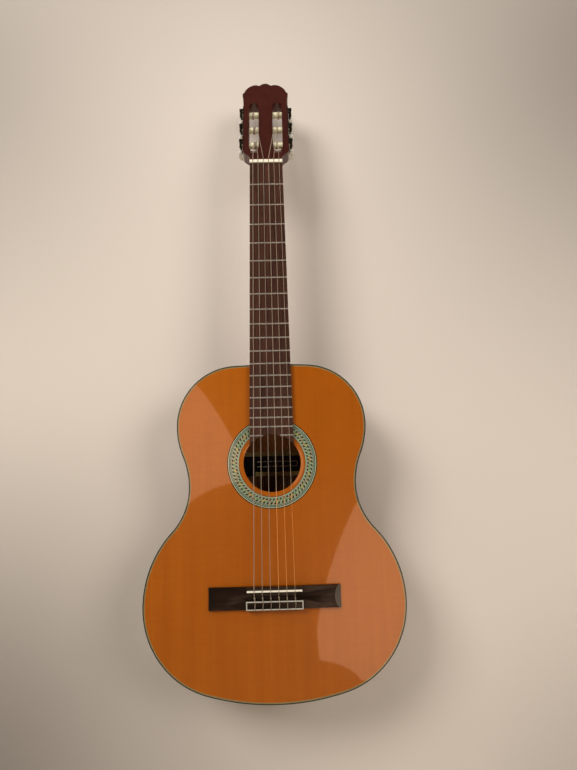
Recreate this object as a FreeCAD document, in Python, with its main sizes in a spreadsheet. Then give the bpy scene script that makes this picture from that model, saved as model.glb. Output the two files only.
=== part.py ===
import FreeCAD, Part
import math
import os

# Classical guitar, full size, front towards -Y, head up.
# The origin is the hanging seat: neck centre line, soundboard plane, fingerboard side of the nut.

V = FreeCAD.Vector
doc = FreeCAD.newDocument("ClassicalGuitar")

SIZES = [
    # scale, nut, fingerboard and frets
    ("scaleLength", 650.0, "nut to saddle"),
    ("nutWidth", 52.0, "neck width at the nut"),
    ("jointWidth", 61.6, "neck width at the body joint"),
    ("boardThick", 6.5, "fingerboard thickness"),
    ("fretCount", 19, "frets"),
    ("fretWidth", 2.4, "fret crown width"),
    ("fretCrown", 1.1, "fret crown height"),
    ("tangWidth", 0.6, "fret tang width"),
    ("tangDeep", 2.0, "fret tang depth"),
    ("nutThick", 5.0, "nut along the neck"),
    ("nutTall", 9.2, "nut height above the neck"),
    ("nutSpread", 41.8, "outer string to outer string at the nut"),
    ("action", 1.0, "string above the fingerboard at the nut"),
    ("nutSlotGap", 0.12, "string groove wider than its string on each side"),
    ("nutSlotFall", 0.9, "drop of a string groove towards the head"),
    # body outline, heights measured up from the tail
    ("bodyLength", 481.0, "tail to neck joint"),
    ("lowerHalf", 188.4, "half width of the lower bout"),
    ("lowerAt", 134.0, "height of the lower bout"),
    ("lowerTurn", 125.2, "radius below the lower bout"),
    ("lowerRise", 149.6, "radius above the lower bout"),
    ("waistHalf", 122.8, "half width of the waist"),
    ("waistAt", 299.4, "height of the waist"),
    ("upperHalf", 141.0, "half width of the upper bout"),
    ("upperAt", 390.0, "height of the upper bout"),
    ("upperRise", 120.0, "radius below the upper bout"),
    ("upperTurn", 89.6, "radius above the upper bout"),
    ("bodyDepth", 100.0, "soundboard face to the crown of the back"),
    ("domeRadius", 4500.0, "sphere radius of the back"),
    # soundbox
    ("topThick", 2.6, "soundboard thickness"),
    ("ribThick", 2.4, "rib thickness"),
    ("backThick", 2.8, "back thickness"),
    ("bindWide", 1.8, "binding width"),
    ("bindTall", 5.0, "binding height"),
    ("purfWide", 1.5, "purfling width"),
    ("purfDeep", 1.4, "purfling depth"),
    ("liningWide", 6.0, "lining width at the glued edge"),
    ("liningTall", 13.0, "lining height"),
    ("barWide", 7.0, "soundboard bar width"),
    ("barTall", 14.0, "soundboard bar height"),
    ("fanWide", 5.0, "fan strut width"),
    ("fanTall", 4.5, "fan strut height"),
    ("backBarWide", 8.0, "back bar width"),
    ("backBarTall", 15.0, "back bar height"),
    ("tailWide", 70.0, "tail block width"),
    ("tailThick", 14.0, "tail block thickness"),
    ("labelWide", 98.0, "paper label width"),
    ("labelTall", 66.0, "paper label height"),
    ("labelThick", 0.3, "paper label thickness"),
    ("labelBelow", 130.0, "joint to the top of the label"),
    # soundhole and rosette
    ("holeRadius", 42.2, "soundhole radius"),
    ("holeBelow", 148.4, "joint to soundhole centre"),
    ("rosetteGap", 6.6, "soundhole edge to rosette"),
    ("rosetteWide", 17.7, "rosette ring width"),
    ("rosetteDeep", 1.2, "rosette inlay depth"),
    # neck and heel
    ("neckDeepNut", 15.0, "neck wood depth at the nut"),
    ("neckDeepJoint", 17.5, "neck wood depth at the joint"),
    ("heelHalf", 14.5, "half width of the heel at the cap"),
    ("heelReach", 20.0, "heel length along the neck at the cap"),
    ("heelCap", 3.0, "heel cap thickness"),
    ("coreHalf", 9.0, "half width of the heel tongue between the ribs"),
    ("blockHalf", 30.0, "half width of the neck block"),
    ("blockLong", 30.0, "neck block along the body"),
    ("footLong", 70.0, "neck foot along the back"),
    ("footTall", 14.0, "neck foot thickness"),
    # head, measured along and behind its face
    ("headTilt", 15.0, "head angle in degrees"),
    ("headThick", 17.0, "head wood thickness"),
    ("veneer", 2.5, "head plate thickness"),
    ("headHalf", 37.0, "half width at the tuners"),
    ("headTopHalf", 39.2, "half width near the crest"),
    ("shoulderAt", 24.0, "where the full width starts"),
    ("sideAbove", 3.7, "slot end to where the sides start to flare"),
    ("cornerAbove", 23.5, "slot end to the crest corner"),
    ("lobeHalf", 16.0, "crest lobe from the centre"),
    ("lobeAbove", 43.6, "slot end to the crest lobe"),
    ("dipHalf", 9.6, "crest dip from the centre"),
    ("dipAbove", 42.2, "slot end to the crest dip"),
    ("tipAbove", 47.2, "slot end to the crest centre"),
    ("slotInner", 11.5, "slot inner wall from the centre"),
    ("slotOuter", 27.5, "slot outer wall from the centre"),
    ("slotBefore", 18.8, "slot lower end to the first roller"),
    ("slotBeyond", 19.0, "last roller to the slot upper end"),
    ("rollerFirst", 43.3, "first roller along the head"),
    ("rollerPitch", 35.0, "roller to roller"),
    ("rollerDeep", 7.25, "roller axis behind the head wood face"),
    ("rollerRadius", 5.0, "string roller radius"),
    ("pinRadius", 3.0, "roller pin radius"),
    ("pinEnd", 5.0, "pin end from the centre line"),
    ("runGap", 0.1, "radial running gap in wood"),
    ("plateGap", 0.08, "radial running gap in metal"),
    ("squareSide", 3.4, "roller drive square"),
    ("stringBore", 1.6, "cross hole in the roller"),
    ("rampBefore", 9.0, "string ramp before the slot"),
    ("rampDeep", 1.0, "string ramp below the head wood face"),
    ("crossFirst", 0.0, "string meets the first roller, outside the slot middle"),
    ("crossSecond", -2.0, "string meets the second roller, outside the slot middle"),
    ("crossThird", 0.2, "string meets the third roller, outside the slot middle"),
    ("windings", 3.6, "string turns on a roller"),
    ("windGap", 0.45, "string turns clear of the roller"),
    # tuning machines
    ("plateThick", 1.2, "side plate thickness"),
    ("plateHalf", 6.0, "side plate half height"),
    ("plateBefore", 12.3, "centre of the lower plate end to the first roller"),
    ("plateBeyond", 14.7, "last roller to the centre of the upper plate end"),
    ("gearModule", 0.65, "gear module"),
    ("gearTeeth", 16, "gear teeth"),
    ("gearWide", 2.8, "gear face width"),
    ("backlash", 0.1, "tooth thinning at the pitch line"),
    ("wormPitchRadius", 2.25, "worm pitch radius"),
    ("wormTurns", 3.5, "worm thread turns"),
    ("wormOut", 3.0, "worm axis outside the side plate"),
    ("meshGap", 0.05, "extra centre distance"),
    ("shaftRadius", 1.5, "worm shaft radius"),
    ("earThick", 1.0, "bearing ear thickness"),
    ("earHalf", 3.0, "bearing ear half width"),
    ("earSpan", 9.6, "clear span between the ears"),
    ("buttonStart", 19.5, "button collar behind the face"),
    ("buttonCollar", 3.5, "button collar radius"),
    ("buttonWide", 13.0, "button width"),
    ("buttonLong", 21.0, "button length"),
    ("buttonThick", 8.0, "button thickness"),
    # bridge
    ("bridgeLong", 188.0, "bridge length"),
    ("bridgeWide", 31.0, "bridge width"),
    ("bridgeAbove", 3.2, "saddle line to the upper edge"),
    ("wingThick", 4.2, "wing thickness"),
    ("blockWide", 80.8, "raised centre width"),
    ("saddleBlock", 9.6, "saddle block along the strings"),
    ("saddleBlockTall", 8.2, "saddle block height"),
    ("tieBlock", 12.0, "tie block along the strings"),
    ("tieBlockTall", 9.4, "tie block height"),
    ("tieHole", 2.0, "string hole diameter"),
    ("tieHoleUp", 5.0, "string hole above the soundboard"),
    ("scoopRadius", 80.0, "sphere that hollows each wing end"),
    ("scoopOut", 16.7, "sphere centre beyond the wing end"),
    ("scoopLift", 76.0, "sphere centre above the wing"),
    ("frameBar", 1.6, "tie block inlay bar width"),
    ("frameDeep", 1.0, "tie block inlay depth"),
    ("saddleLong", 78.2, "saddle length"),
    ("saddleThick", 2.4, "saddle thickness"),
    ("saddleFoot", 3.6, "saddle foot above the soundboard"),
    ("saddleTop", 11.0, "saddle top above the soundboard"),
    ("saddleSpread", 57.8, "outer string to outer string at the saddle"),
    ("compensation", 2.6, "saddle set back"),
]

sheet = doc.addObject("Spreadsheet::Sheet", "sizes")
for row, (alias, value, note) in enumerate(SIZES, start=1):
    sheet.set(f"A{row}", alias)
    sheet.set(f"B{row}", str(value))
    sheet.set(f"C{row}", note)
    sheet.setAlias(f"B{row}", alias)
doc.recompute()


def size(alias):
    return float(sheet.get(alias))


STRING_RADII = [0.36, 0.41, 0.51, 0.38, 0.45, 0.55]   # strings 1 to 6, treble first

jointZ = -size("scaleLength") / 2
tailZ = jointZ - size("bodyLength")
holeZ = jointZ - size("holeBelow")
saddleZ = -size("scaleLength") - size("compensation")
nodes = {}


# ---------------------------------------------------------------- document helpers
TURN = {
    "Z": FreeCAD.Rotation(),
    "X": FreeCAD.Rotation(V(0, 1, 0), 90),
    "Y": FreeCAD.Rotation(V(1, 0, 0), -90),
}


def bind(obj, **values):
    for name, value in values.items():
        obj.setExpression(name, str(value))
    return obj


def place(obj, at, rotation=None):
    obj.Placement = FreeCAD.Placement(V(0, 0, 0), rotation or FreeCAD.Rotation())
    for letter, value in zip("xyz", at):
        obj.setExpression(f".Placement.Base.{letter}", str(value))
    return obj


def box(label, x, y, z, at):
    obj = doc.addObject("Part::Box", label)
    return place(bind(obj, Length=x, Width=y, Height=z), at)


def rod(label, radius, length, at, axis="Z"):
    obj = doc.addObject("Part::Cylinder", label)
    return place(bind(obj, Radius=radius, Height=length), at, TURN[axis])


def cut(label, base, *tools):
    tool = tools[0] if len(tools) == 1 else fuse(label + "_tools", *tools)
    obj = doc.addObject("Part::Cut", label)
    obj.Base, obj.Tool = base, tool
    return obj


def fuse(label, *parts):
    obj = doc.addObject("Part::MultiFuse", label)
    obj.Shapes = list(parts)
    return obj


def common(label, *parts):
    obj = doc.addObject("Part::MultiCommon", label)
    obj.Shapes = list(parts)
    return obj


def mirrored(label, source):
    obj = doc.addObject("Part::Mirroring", label)
    obj.Source = source
    obj.Normal = V(1, 0, 0)
    obj.Base = V(0, 0, 0)
    return obj


def feature(label, shape):
    obj = doc.addObject("Part::Feature", label)
    obj.Shape = shape
    return obj


def node(name, obj):
    obj.Label = name
    nodes[name] = obj
    return obj


# ---------------------------------------------------------------- body outline
def outline_arcs():
    """Right-hand arcs from tail to neck: centre across, centre up, radius, +1 bulging or -1 hollow."""
    wl, zl, rl, r2 = (size(n) for n in ("lowerHalf", "lowerAt", "lowerTurn", "lowerRise"))
    ww, zw = size("waistHalf"), size("waistAt")
    wu, zu, r4, ru = (size(n) for n in ("upperHalf", "upperAt", "upperRise", "upperTurn"))
    span = size("bodyLength") - zu
    tail = ((wl - rl) ** 2 + zl ** 2 - rl ** 2) / (2 * (zl - rl))
    low = math.hypot(wl - ww, zw - zl) ** 2 / (2 * (wl - ww)) - r2
    high = math.hypot(wu - ww, zu - zw) ** 2 / (2 * (wu - ww)) - r4
    top = ((wu - ru) ** 2 + span ** 2 - ru ** 2) / (2 * (span - ru))
    return [
        (0, tail, tail, 1), (wl - rl, zl, rl, 1), (wl - r2, zl, r2, 1),
        (ww + low, zw, low, -1), (ww + high, zw, high, -1),
        (wu - r4, zu, r4, 1), (wu - ru, zu, ru, 1),
        (0, size("bodyLength") - top, top, 1),
    ]


def touch(a, b):
    """Point where two neighbouring tangent arcs meet."""
    away = V(b[0] - a[0], 0, b[1] - a[1])
    away.normalize()
    if a[3] != b[3] or a[2] > b[2]:
        return V(a[0], 0, a[1]) + away * a[2]
    return V(b[0], 0, b[1]) - away * b[2]


def outline_wire(inset, y):
    arcs = [(x, z, r - bend * inset, bend) for x, z, r, bend in outline_arcs()]
    joins = [V(0, 0, inset)]
    joins += [touch(a, b) for a, b in zip(arcs, arcs[1:])]
    joins.append(V(0, 0, size("bodyLength") - inset))
    edges = []
    for (x, z, r, _), start, end in zip(arcs, joins, joins[1:]):
        centre = V(x, 0, z)
        middle = (start - centre) + (end - centre)
        middle.normalize()
        edges.append(Part.Arc(start, centre + middle * r, end).toShape())
    left = [edge.mirror(V(0, 0, 0), V(1, 0, 0)) for edge in edges]
    wire = Part.Wire(Part.__sortEdges__(edges + left))
    wire.translate(V(0, y, tailZ))
    return wire


def prism(inset, front, back):
    return Part.Face(outline_wire(inset, front)).extrude(V(0, back - front, 0))


def ring(outer, inner, front, back):
    return prism(outer, front, back).cut(prism(inner, front - 1, back + 1))


def dome(inset):
    """Ball whose rear surface is the back of the soundbox, moved in by the inset."""
    radius = size("domeRadius")
    centre = V(0, size("bodyDepth") - radius, tailZ + size("bodyLength") / 2)
    return Part.makeSphere(radius - inset, centre)


FAR = size("bodyDepth") + 10
topThick, ribThick, backThick = size("topThick"), size("ribThick"), size("backThick")
bindWide, bindTall = size("bindWide"), size("bindTall")
purfEdge = bindWide + size("purfWide")
innerBall = dome(backThick)
cavityFace = ribThick + size("liningWide")

# ---------------------------------------------------------------- soundboard, rosette, bindings
board = feature("board_blank", prism(bindWide, 0, topThick))
purfling_shape = ring(bindWide, purfEdge, 0, size("purfDeep"))
top_purfling = feature("purfling_ring", purfling_shape)
sound_hole = rod("sound_hole", "sizes.holeRadius", "sizes.topThick * 3",
                 (0, "-sizes.topThick", "-sizes.scaleLength / 2 - sizes.holeBelow"), "Y")
rosette_at = (0, 0, "-sizes.scaleLength / 2 - sizes.holeBelow")
rosette_disc = rod("rosette_disc", "sizes.holeRadius + sizes.rosetteGap + sizes.rosetteWide", "sizes.rosetteDeep", rosette_at, "Y")
rosette_core = rod("rosette_core", "sizes.holeRadius + sizes.rosetteGap", "sizes.rosetteDeep", rosette_at, "Y")
rosette = node("rosette", cut("rosette", rosette_disc, rosette_core))
node("soundboard", cut("soundboard", board, top_purfling, sound_hole, rosette))

top_binding = ring(0, bindWide, 0, bindTall)
back_binding = ring(0, bindWide, size("bodyDepth") / 2, FAR).common(dome(0)).cut(dome(bindTall))
node("top_purfling", feature("top_purfling", purfling_shape.copy()))
node("bindings", feature("bindings", Part.makeCompound([top_binding, back_binding])))

# ---------------------------------------------------------------- back, ribs, linings, blocks
back = prism(bindWide, size("bodyDepth") / 2, FAR).common(dome(0)).cut(innerBall)
node("back_panel", feature("back_panel", back))

tail_block = Part.makeBox(size("tailWide"), FAR, size("tailThick"),
                          V(-size("tailWide") / 2, topThick, tailZ + ribThick))
tail_block = tail_block.fuse(tail_block.translated(V(0, 0, -ribThick)))
tail_block = tail_block.common(prism(ribThick, topThick, FAR)).common(innerBall).removeSplitter()
node("tail_block", feature("tail_block", tail_block))


def tapered_plug(wide, wide_y, narrow, narrow_y):
    """Inner space of a lining: outline insets at two depths joined by straight lines."""
    return Part.makeLoft([outline_wire(wide, wide_y), outline_wire(narrow, narrow_y)], True, True)


edge = size("liningTall")
top_lining = prism(ribThick, topThick, topThick + edge)
top_lining = top_lining.cut(prism(cavityFace, topThick - 1, topThick + 3))
top_lining = top_lining.cut(tapered_plug(cavityFace, topThick + 3, ribThick + 1, topThick + edge))
lowest = size("bodyDepth") - (size("bodyLength") / 2) ** 2 / (2 * size("domeRadius")) - backThick
back_lining = prism(ribThick, lowest - edge, FAR)
back_lining = back_lining.cut(tapered_plug(ribThick + 1, lowest - edge, cavityFace, lowest - 3))
back_lining = back_lining.cut(prism(cavityFace, lowest - 3, FAR + 1)).common(innerBall)

# ---------------------------------------------------------------- neck
neck_taper = (size("jointWidth") - size("nutWidth")) / (-jointZ)


def half_width(z):
    return (size("nutWidth") - neck_taper * z) / 2


def spline(poles):
    curve = Part.BSplineCurve()
    last = len(poles) - 3
    curve.buildFromPolesMultsKnots(poles, [4] + [1] * (last - 1) + [4], list(range(last + 1)), False, 3)
    return curve.toShape()


def shaft_wire(z, half, deep):
    back_poles = [(-half, 0), (-half, 0.62 * deep), (-0.72 * half, deep), (-0.26 * half, deep),
                  (0.26 * half, deep), (0.72 * half, deep), (half, 0.62 * deep), (half, 0)]
    curve = spline([V(x, y, z) for x, y in back_poles])
    return Part.Wire([curve, Part.makeLine(V(half, 0, z), V(-half, 0, z))])


def heel_wire(y, half, reach):
    base = jointZ - 3
    poles = [(-half, base), (-half, jointZ + 0.4 * reach), (-0.75 * half, jointZ + 0.8 * reach),
             (-0.28 * half, jointZ + reach), (0.28 * half, jointZ + reach),
             (0.75 * half, jointZ + 0.8 * reach), (half, jointZ + 0.4 * reach), (half, base)]
    curve = spline([V(x, y, z) for x, z in poles])
    return Part.Wire([curve, Part.makeLine(V(half, y, base), V(-half, y, base))])


head_frame = FreeCAD.Placement(V(0, 0, size("nutThick")),
                               FreeCAD.Rotation(V(1, 0, 0), -size("headTilt")))

half_joint = half_width(jointZ)
shaft_top = size("nutThick")
shaft = Part.makeLoft([
    shaft_wire(shaft_top, half_width(shaft_top), size("neckDeepNut")),
    shaft_wire(jointZ, half_joint, size("neckDeepJoint"))], True, True)
throat_end = shaft_wire(0, half_width(0) + 0.5, size("headThick"))
throat_end.Placement = head_frame.multiply(FreeCAD.Placement(V(0, 0, 17), FreeCAD.Rotation()))
throat = Part.makeLoft([
    shaft_wire(-24, half_width(-24), size("neckDeepNut") + 0.2), throat_end], True, True)

cap_y = size("bodyDepth") - (size("bodyLength") / 2) ** 2 / (2 * size("domeRadius"))
heel_y = cap_y - size("heelCap")
hh, hr = size("heelHalf"), size("heelReach")
heel = Part.makeLoft([
    heel_wire(2, half_joint, 3.6 * hr),
    heel_wire(12, half_joint - 1, 2.8 * hr),
    heel_wire(22, half_joint - 4.5, 1.9 * hr),
    heel_wire(0.40 * heel_y, hh + 8, 1.38 * hr),
    heel_wire(0.68 * heel_y, hh + 3, 1.12 * hr),
    heel_wire(heel_y, hh, hr)], True, False)
heel = heel.cut(prism(0, -5, FAR))
core = Part.makeBox(2 * size("coreHalf"), heel_y - 2 * bindTall, ribThick + 8,
                    V(-size("coreHalf"), bindTall + 0.5, jointZ - ribThick - 3))
core = core.common(dome(bindTall + 0.5))
block = Part.makeBox(2 * size("blockHalf"), FAR, size("blockLong"),
                     V(-size("blockHalf"), topThick, jointZ - size("blockLong")))
foot = Part.makeBox(2 * size("blockHalf"), FAR, size("footLong"),
                    V(-size("blockHalf"), heel_y - size("footTall"), jointZ - size("footLong")))
block = block.fuse(foot).common(prism(ribThick, topThick, FAR)).common(innerBall)
cap_shape = Part.Face(heel_wire(heel_y, hh, hr)).extrude(V(0, size("heelCap"), 0))
node("heel_cap", feature("heel_cap", cap_shape.cut(prism(0, -5, FAR))))


slot_low = size("rollerFirst") - size("slotBefore")
slot_high = size("rollerFirst") + 2 * size("rollerPitch") + size("slotBeyond")


def head_outline():
    """Closed head outline in the head's own plane: across, 0, up the face."""
    n, w, wt = half_width(0), size("headHalf"), size("headTopHalf")
    sh, lx, dx = size("shoulderAt"), size("lobeHalf"), size("dipHalf")
    side, corner, lz, dz, tip = (slot_high + size(a) for a in (
        "sideAbove", "cornerAbove", "lobeAbove", "dipAbove", "tipAbove"))
    right = [
        Part.makeLine(V(n, 0, 0), V(n, 0, 5)),
        Part.BezierCurve(), Part.makeLine(V(w, 0, sh), V(w, 0, side)), Part.BezierCurve(),
        Part.makeLine(V(wt - 0.8, 0, corner), V(wt - 3.4, 0, corner + 1.6)),
        Part.BezierCurve(), Part.BezierCurve(), Part.BezierCurve(),
    ]
    right[1].setPoles([V(n, 0, 5), V(n, 0, sh - 9), V(w, 0, sh - 10), V(w, 0, sh)])
    right[3].setPoles([V(w, 0, side), V(w, 0, side + 7), V(wt + 0.6, 0, corner - 6), V(wt - 0.8, 0, corner)])
    start = V(wt - 3.4, 0, corner + 1.6)
    right[5].setPoles([start, V(wt - 5, 0, corner + 10), V(lx + 9, 0, lz + 0.4), V(lx, 0, lz)])
    right[6].setPoles([V(lx, 0, lz), V(lx - 3, 0, lz - 0.1), V(dx + 2, 0, dz), V(dx, 0, dz)])
    right[7].setPoles([V(dx, 0, dz), V(dx - 3.5, 0, tip - 1.5), V(2.5, 0, tip), V(0, 0, tip)])
    right = [piece if isinstance(piece, Part.Shape) else piece.toShape() for piece in right]
    left = [piece.mirror(V(0, 0, 0), V(1, 0, 0)) for piece in right]
    foot_line = Part.makeLine(V(-n, 0, 0), V(n, 0, 0))
    return Part.Wire(Part.__sortEdges__(right + left + [foot_line]))


def slot_tool(side):
    """Stadium slot with a short ramp at the nut end."""
    inner, outer = size("slotInner"), size("slotOuter")
    low, high = slot_low, slot_high
    radius = (outer - inner) / 2
    middle = side * (inner + outer) / 2
    front, deep = -size("veneer") - 1, size("headThick") + size("veneer") + 2
    slot = Part.makeBox(2 * radius, deep, high - low - 2 * radius, V(middle - radius, front, low + radius))
    for level in (low + radius, high - radius):
        slot = slot.fuse(Part.makeCylinder(radius, deep, V(middle, front, level), V(0, 1, 0)))
    start, end, floor = low - size("rampBefore"), low + 4, size("rampDeep")
    ramp = Part.makePolygon([V(0, front, start), V(0, front, end), V(0, floor, end), V(0, front, start)])
    ramp = Part.Face(ramp).extrude(V(2 * radius - 5, 0, 0))
    ramp.translate(V(middle - radius + 2.5, 0, 0))
    return slot.fuse(ramp)


head_slots = slot_tool(1).fuse(slot_tool(-1))
head_wood = Part.Face(head_outline()).extrude(V(0, size("headThick"), 0)).cut(head_slots)
plate_shape = Part.Face(head_outline()).extrude(V(0, -size("veneer"), 0)).cut(head_slots)
head_plate = feature("head_plate", plate_shape)
head_plate.Placement = head_frame
node("head_plate", head_plate)

stations = [f"(sizes.rollerFirst + {step} * sizes.rollerPitch)" for step in range(3)]
drills = []
for number, station in enumerate(stations, start=1):
    for side, name in ((1, "treble"), (-1, "bass")):
        reach = "(sizes.headHalf + 1)"
        wide_at = "sizes.slotOuter - 3" if side > 0 else f"-{reach}"
        pin_at = "sizes.pinEnd - 0.5" if side > 0 else "-sizes.slotInner - 1"
        drills.append(rod(f"rail_bore_{name}_{number}", "sizes.rollerRadius + sizes.runGap",
                          f"{reach} - sizes.slotOuter + 3", (wide_at, "sizes.rollerDeep", station), "X"))
        drills.append(rod(f"web_bore_{name}_{number}", "sizes.pinRadius + sizes.runGap",
                          "sizes.slotInner + 1 - sizes.pinEnd + 0.5",
                          (pin_at, "sizes.rollerDeep", station), "X"))

plate_low = "(sizes.rollerFirst - sizes.plateBefore)"
plate_high = "(sizes.rollerFirst + 2 * sizes.rollerPitch + sizes.plateBeyond)"
screw_levels = [plate_low, "(sizes.rollerFirst + 0.56 * sizes.rollerPitch)",
                "(sizes.rollerFirst + 1.56 * sizes.rollerPitch)", plate_high]
for number, level in enumerate(screw_levels, start=1):
    for side, name in ((1, "treble"), (-1, "bass")):
        at = "sizes.headHalf - 9" if side > 0 else "-sizes.headHalf - 1"
        drills.append(rod(f"pilot_{name}_{number}", 1.1, 10, (at, "sizes.rollerDeep", level), "X"))

head_block = cut("head_block", feature("head_blank", head_wood), *drills)
head_block.Placement = head_frame
neck_shapes = [feature(label, shape) for label, shape in (
    ("neck_shaft", shaft), ("neck_throat", throat), ("neck_heel", heel),
    ("neck_core", core), ("neck_block", block))]
neck = fuse("neck_joined", head_block, *neck_shapes)
nut_space = box("nut_space", "sizes.nutWidth + 20", 30, "sizes.nutThick",
                ("-sizes.nutWidth / 2 - 10", -30, 0))
neck = node("neck", cut("neck", neck, nut_space))
doc.recompute()
neck_shape = neck.Shape

# ---------------------------------------------------------------- ribs and linings, trimmed to the neck
ribs = ring(0, ribThick, topThick, FAR).common(innerBall)
ribs = ribs.cut(top_binding).cut(back_binding).cut(neck_shape)
half_space = Part.makeBox(400, 300, 1200, V(0, -50, tailZ - 100))
for name, side in (("rib_treble", 1), ("rib_bass", -1)):
    keep = half_space if side > 0 else half_space.translated(V(-400, 0, 0))
    node(name, feature(name, ribs.common(keep)))

strips = []
for lining in (top_lining, back_lining):
    lining = lining.cut(neck_shape).cut(tail_block)
    strips += lining.Solids
node("linings", feature("linings", Part.makeCompound(strips)))

# ---------------------------------------------------------------- braces and label
cavity = prism(cavityFace + 0.2, topThick, FAR)
bar_levels = [holeZ + size("holeRadius") + 14, holeZ - size("holeRadius") - 14]
braces = []
for level in bar_levels:
    bar = Part.makeBox(500, size("barTall"), size("barWide"), V(-250, topThick, level - size("barWide") / 2))
    braces += bar.common(cavity).cut(neck_shape).Solids
fan_top = bar_levels[1] - size("barWide") / 2 - 1
fan_foot = tailZ + size("tailThick") + ribThick + 26
for step in range(-3, 4):
    strut = Part.makeBox(size("fanWide"), size("fanTall"), fan_top - fan_foot - 4 * abs(step),
                         V(-size("fanWide") / 2, topThick, fan_foot - fan_top + 4 * abs(step)))
    strut.rotate(V(0, 0, 0), V(0, 1, 0), 5.0 * step)
    strut.translate(V(19 * step, 0, fan_top - 1.5 * abs(step)))
    braces += strut.common(cavity).Solids
node("top_braces", feature("top_braces", Part.makeCompound(braces)))

back_bars = []
for share in (0.20, 0.50, 0.78):
    level = jointZ - share * size("bodyLength")
    bar = Part.makeBox(500, FAR, size("backBarWide"),
                       V(-250, cap_y - size("backBarTall"), level - size("backBarWide") / 2))
    back_bars += bar.common(cavity).common(innerBall).Solids
node("back_braces", feature("back_braces", Part.makeCompound(back_bars)))

label_top = jointZ - size("labelBelow")
label_shape = Part.makeBox(size("labelWide"), 60, size("labelTall"),
                           V(-size("labelWide") / 2, size("bodyDepth") - 50, label_top - size("labelTall")))
label_shape = label_shape.common(innerBall).cut(dome(backThick + size("labelThick")))
node("label", feature("label", label_shape))

# ---------------------------------------------------------------- fingerboard and frets
boardThick = size("boardThick")
end_z = holeZ + 20


def board_profile(z_low, z_high, grow=0.0):
    corners = [(half_width(z_high) + grow, z_high), (half_width(z_low) + grow, z_low),
               (-half_width(z_low) - grow, z_low), (-half_width(z_high) - grow, z_high)]
    points = [V(x, 0, z) for x, z in corners]
    return Part.Face(Part.makePolygon(points + points[:1]))


fingerboard = board_profile(end_z, 0).extrude(V(0, -boardThick, 0))
hole_plug = Part.makeCylinder(size("holeRadius"), 40, V(0, -20, holeZ), V(0, 1, 0))
fingerboard = fingerboard.cut(hole_plug)
crown_half, crown_up = size("fretWidth") / 2, size("fretCrown")
frets, fret_slots = [], []
for number in range(1, int(size("fretCount")) + 1):
    z = size("scaleLength") * (2 ** (-number / 12) - 1)
    arc = Part.Arc(V(-150, -boardThick, z - crown_half), V(-150, -boardThick - crown_up, z),
                   V(-150, -boardThick, z + crown_half)).toShape()
    base_line = Part.makeLine(V(-150, -boardThick, z + crown_half), V(-150, -boardThick, z - crown_half))
    crown = Part.Face(Part.Wire([arc, base_line])).extrude(V(300, 0, 0))
    tang = Part.makeBox(300, size("tangDeep"), size("tangWidth"),
                        V(-150, -boardThick, z - size("tangWidth") / 2))
    limit = board_profile(z - 4, z + 4).extrude(V(0, -30, 0))
    fret = crown.fuse(tang).removeSplitter().common(limit).cut(hole_plug)
    frets += fret.Solids
    fret_slots.append(tang)
node("fingerboard", feature("fingerboard", fingerboard.cut(Part.makeCompound(fret_slots))))
node("frets", feature("frets", Part.makeCompound(frets)))

# ---------------------------------------------------------------- bridge
bridge_low = "-sizes.scaleLength + sizes.bridgeAbove - sizes.bridgeWide"
bridge_high = "-sizes.scaleLength + sizes.bridgeAbove"
wings = box("bridge_wings", "sizes.bridgeLong", "sizes.wingThick", "sizes.bridgeWide",
            ("-sizes.bridgeLong / 2", "-sizes.wingThick", bridge_low))
saddle_block = box("saddle_block", "sizes.blockWide", "sizes.saddleBlockTall", "sizes.saddleBlock",
                   ("-sizes.blockWide / 2", "-sizes.saddleBlockTall", f"{bridge_high} - sizes.saddleBlock"))
tie_block = box("tie_block", "sizes.blockWide", "sizes.tieBlockTall", "sizes.tieBlock",
                ("-sizes.blockWide / 2", "-sizes.tieBlockTall", bridge_low))
bridge_blank = fuse("bridge_blank", wings, saddle_block, tie_block)
saddle_slot = box("saddle_slot", "sizes.saddleLong", 20, "sizes.saddleThick",
                  ("-sizes.saddleLong / 2", "-20 - sizes.saddleFoot",
                   "-sizes.scaleLength - sizes.compensation - sizes.saddleThick / 2"))
frame_sink = box("frame_sink", "sizes.blockWide", "sizes.frameDeep", "sizes.tieBlock",
                 ("-sizes.blockWide / 2", "-sizes.tieBlockTall", bridge_low))
frame_window = box("frame_window", "sizes.blockWide - 2 * sizes.frameBar", "sizes.frameDeep",
                   "sizes.tieBlock - 2 * sizes.frameBar",
                   ("-sizes.blockWide / 2 + sizes.frameBar", "-sizes.tieBlockTall",
                    f"{bridge_low} + sizes.frameBar"))
tie_frame = node("tie_block_frame", cut("tie_block_frame", frame_sink, frame_window))
tools = [saddle_slot, tie_frame]
for number in range(6):
    across = f"sizes.saddleSpread * (0.5 - {number} / 5)"
    tools.append(rod(f"tie_hole_{number + 1}", "sizes.tieHole / 2", "sizes.tieBlock + 8",
                     (across, "-sizes.tieHoleUp", f"{bridge_low} - 4"), "Z"))
for side, name in ((1, "treble"), (-1, "bass")):
    scoop = doc.addObject("Part::Sphere", f"wing_scoop_{name}")
    bind(scoop, Radius="sizes.scoopRadius")
    place(scoop, (f"{side} * (sizes.bridgeLong / 2 + sizes.scoopOut)", "-sizes.wingThick - sizes.scoopLift",
                  f"{bridge_low} + sizes.bridgeWide / 2"))
    tools.append(scoop)
node("bridge", cut("bridge", bridge_blank, *tools))

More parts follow.
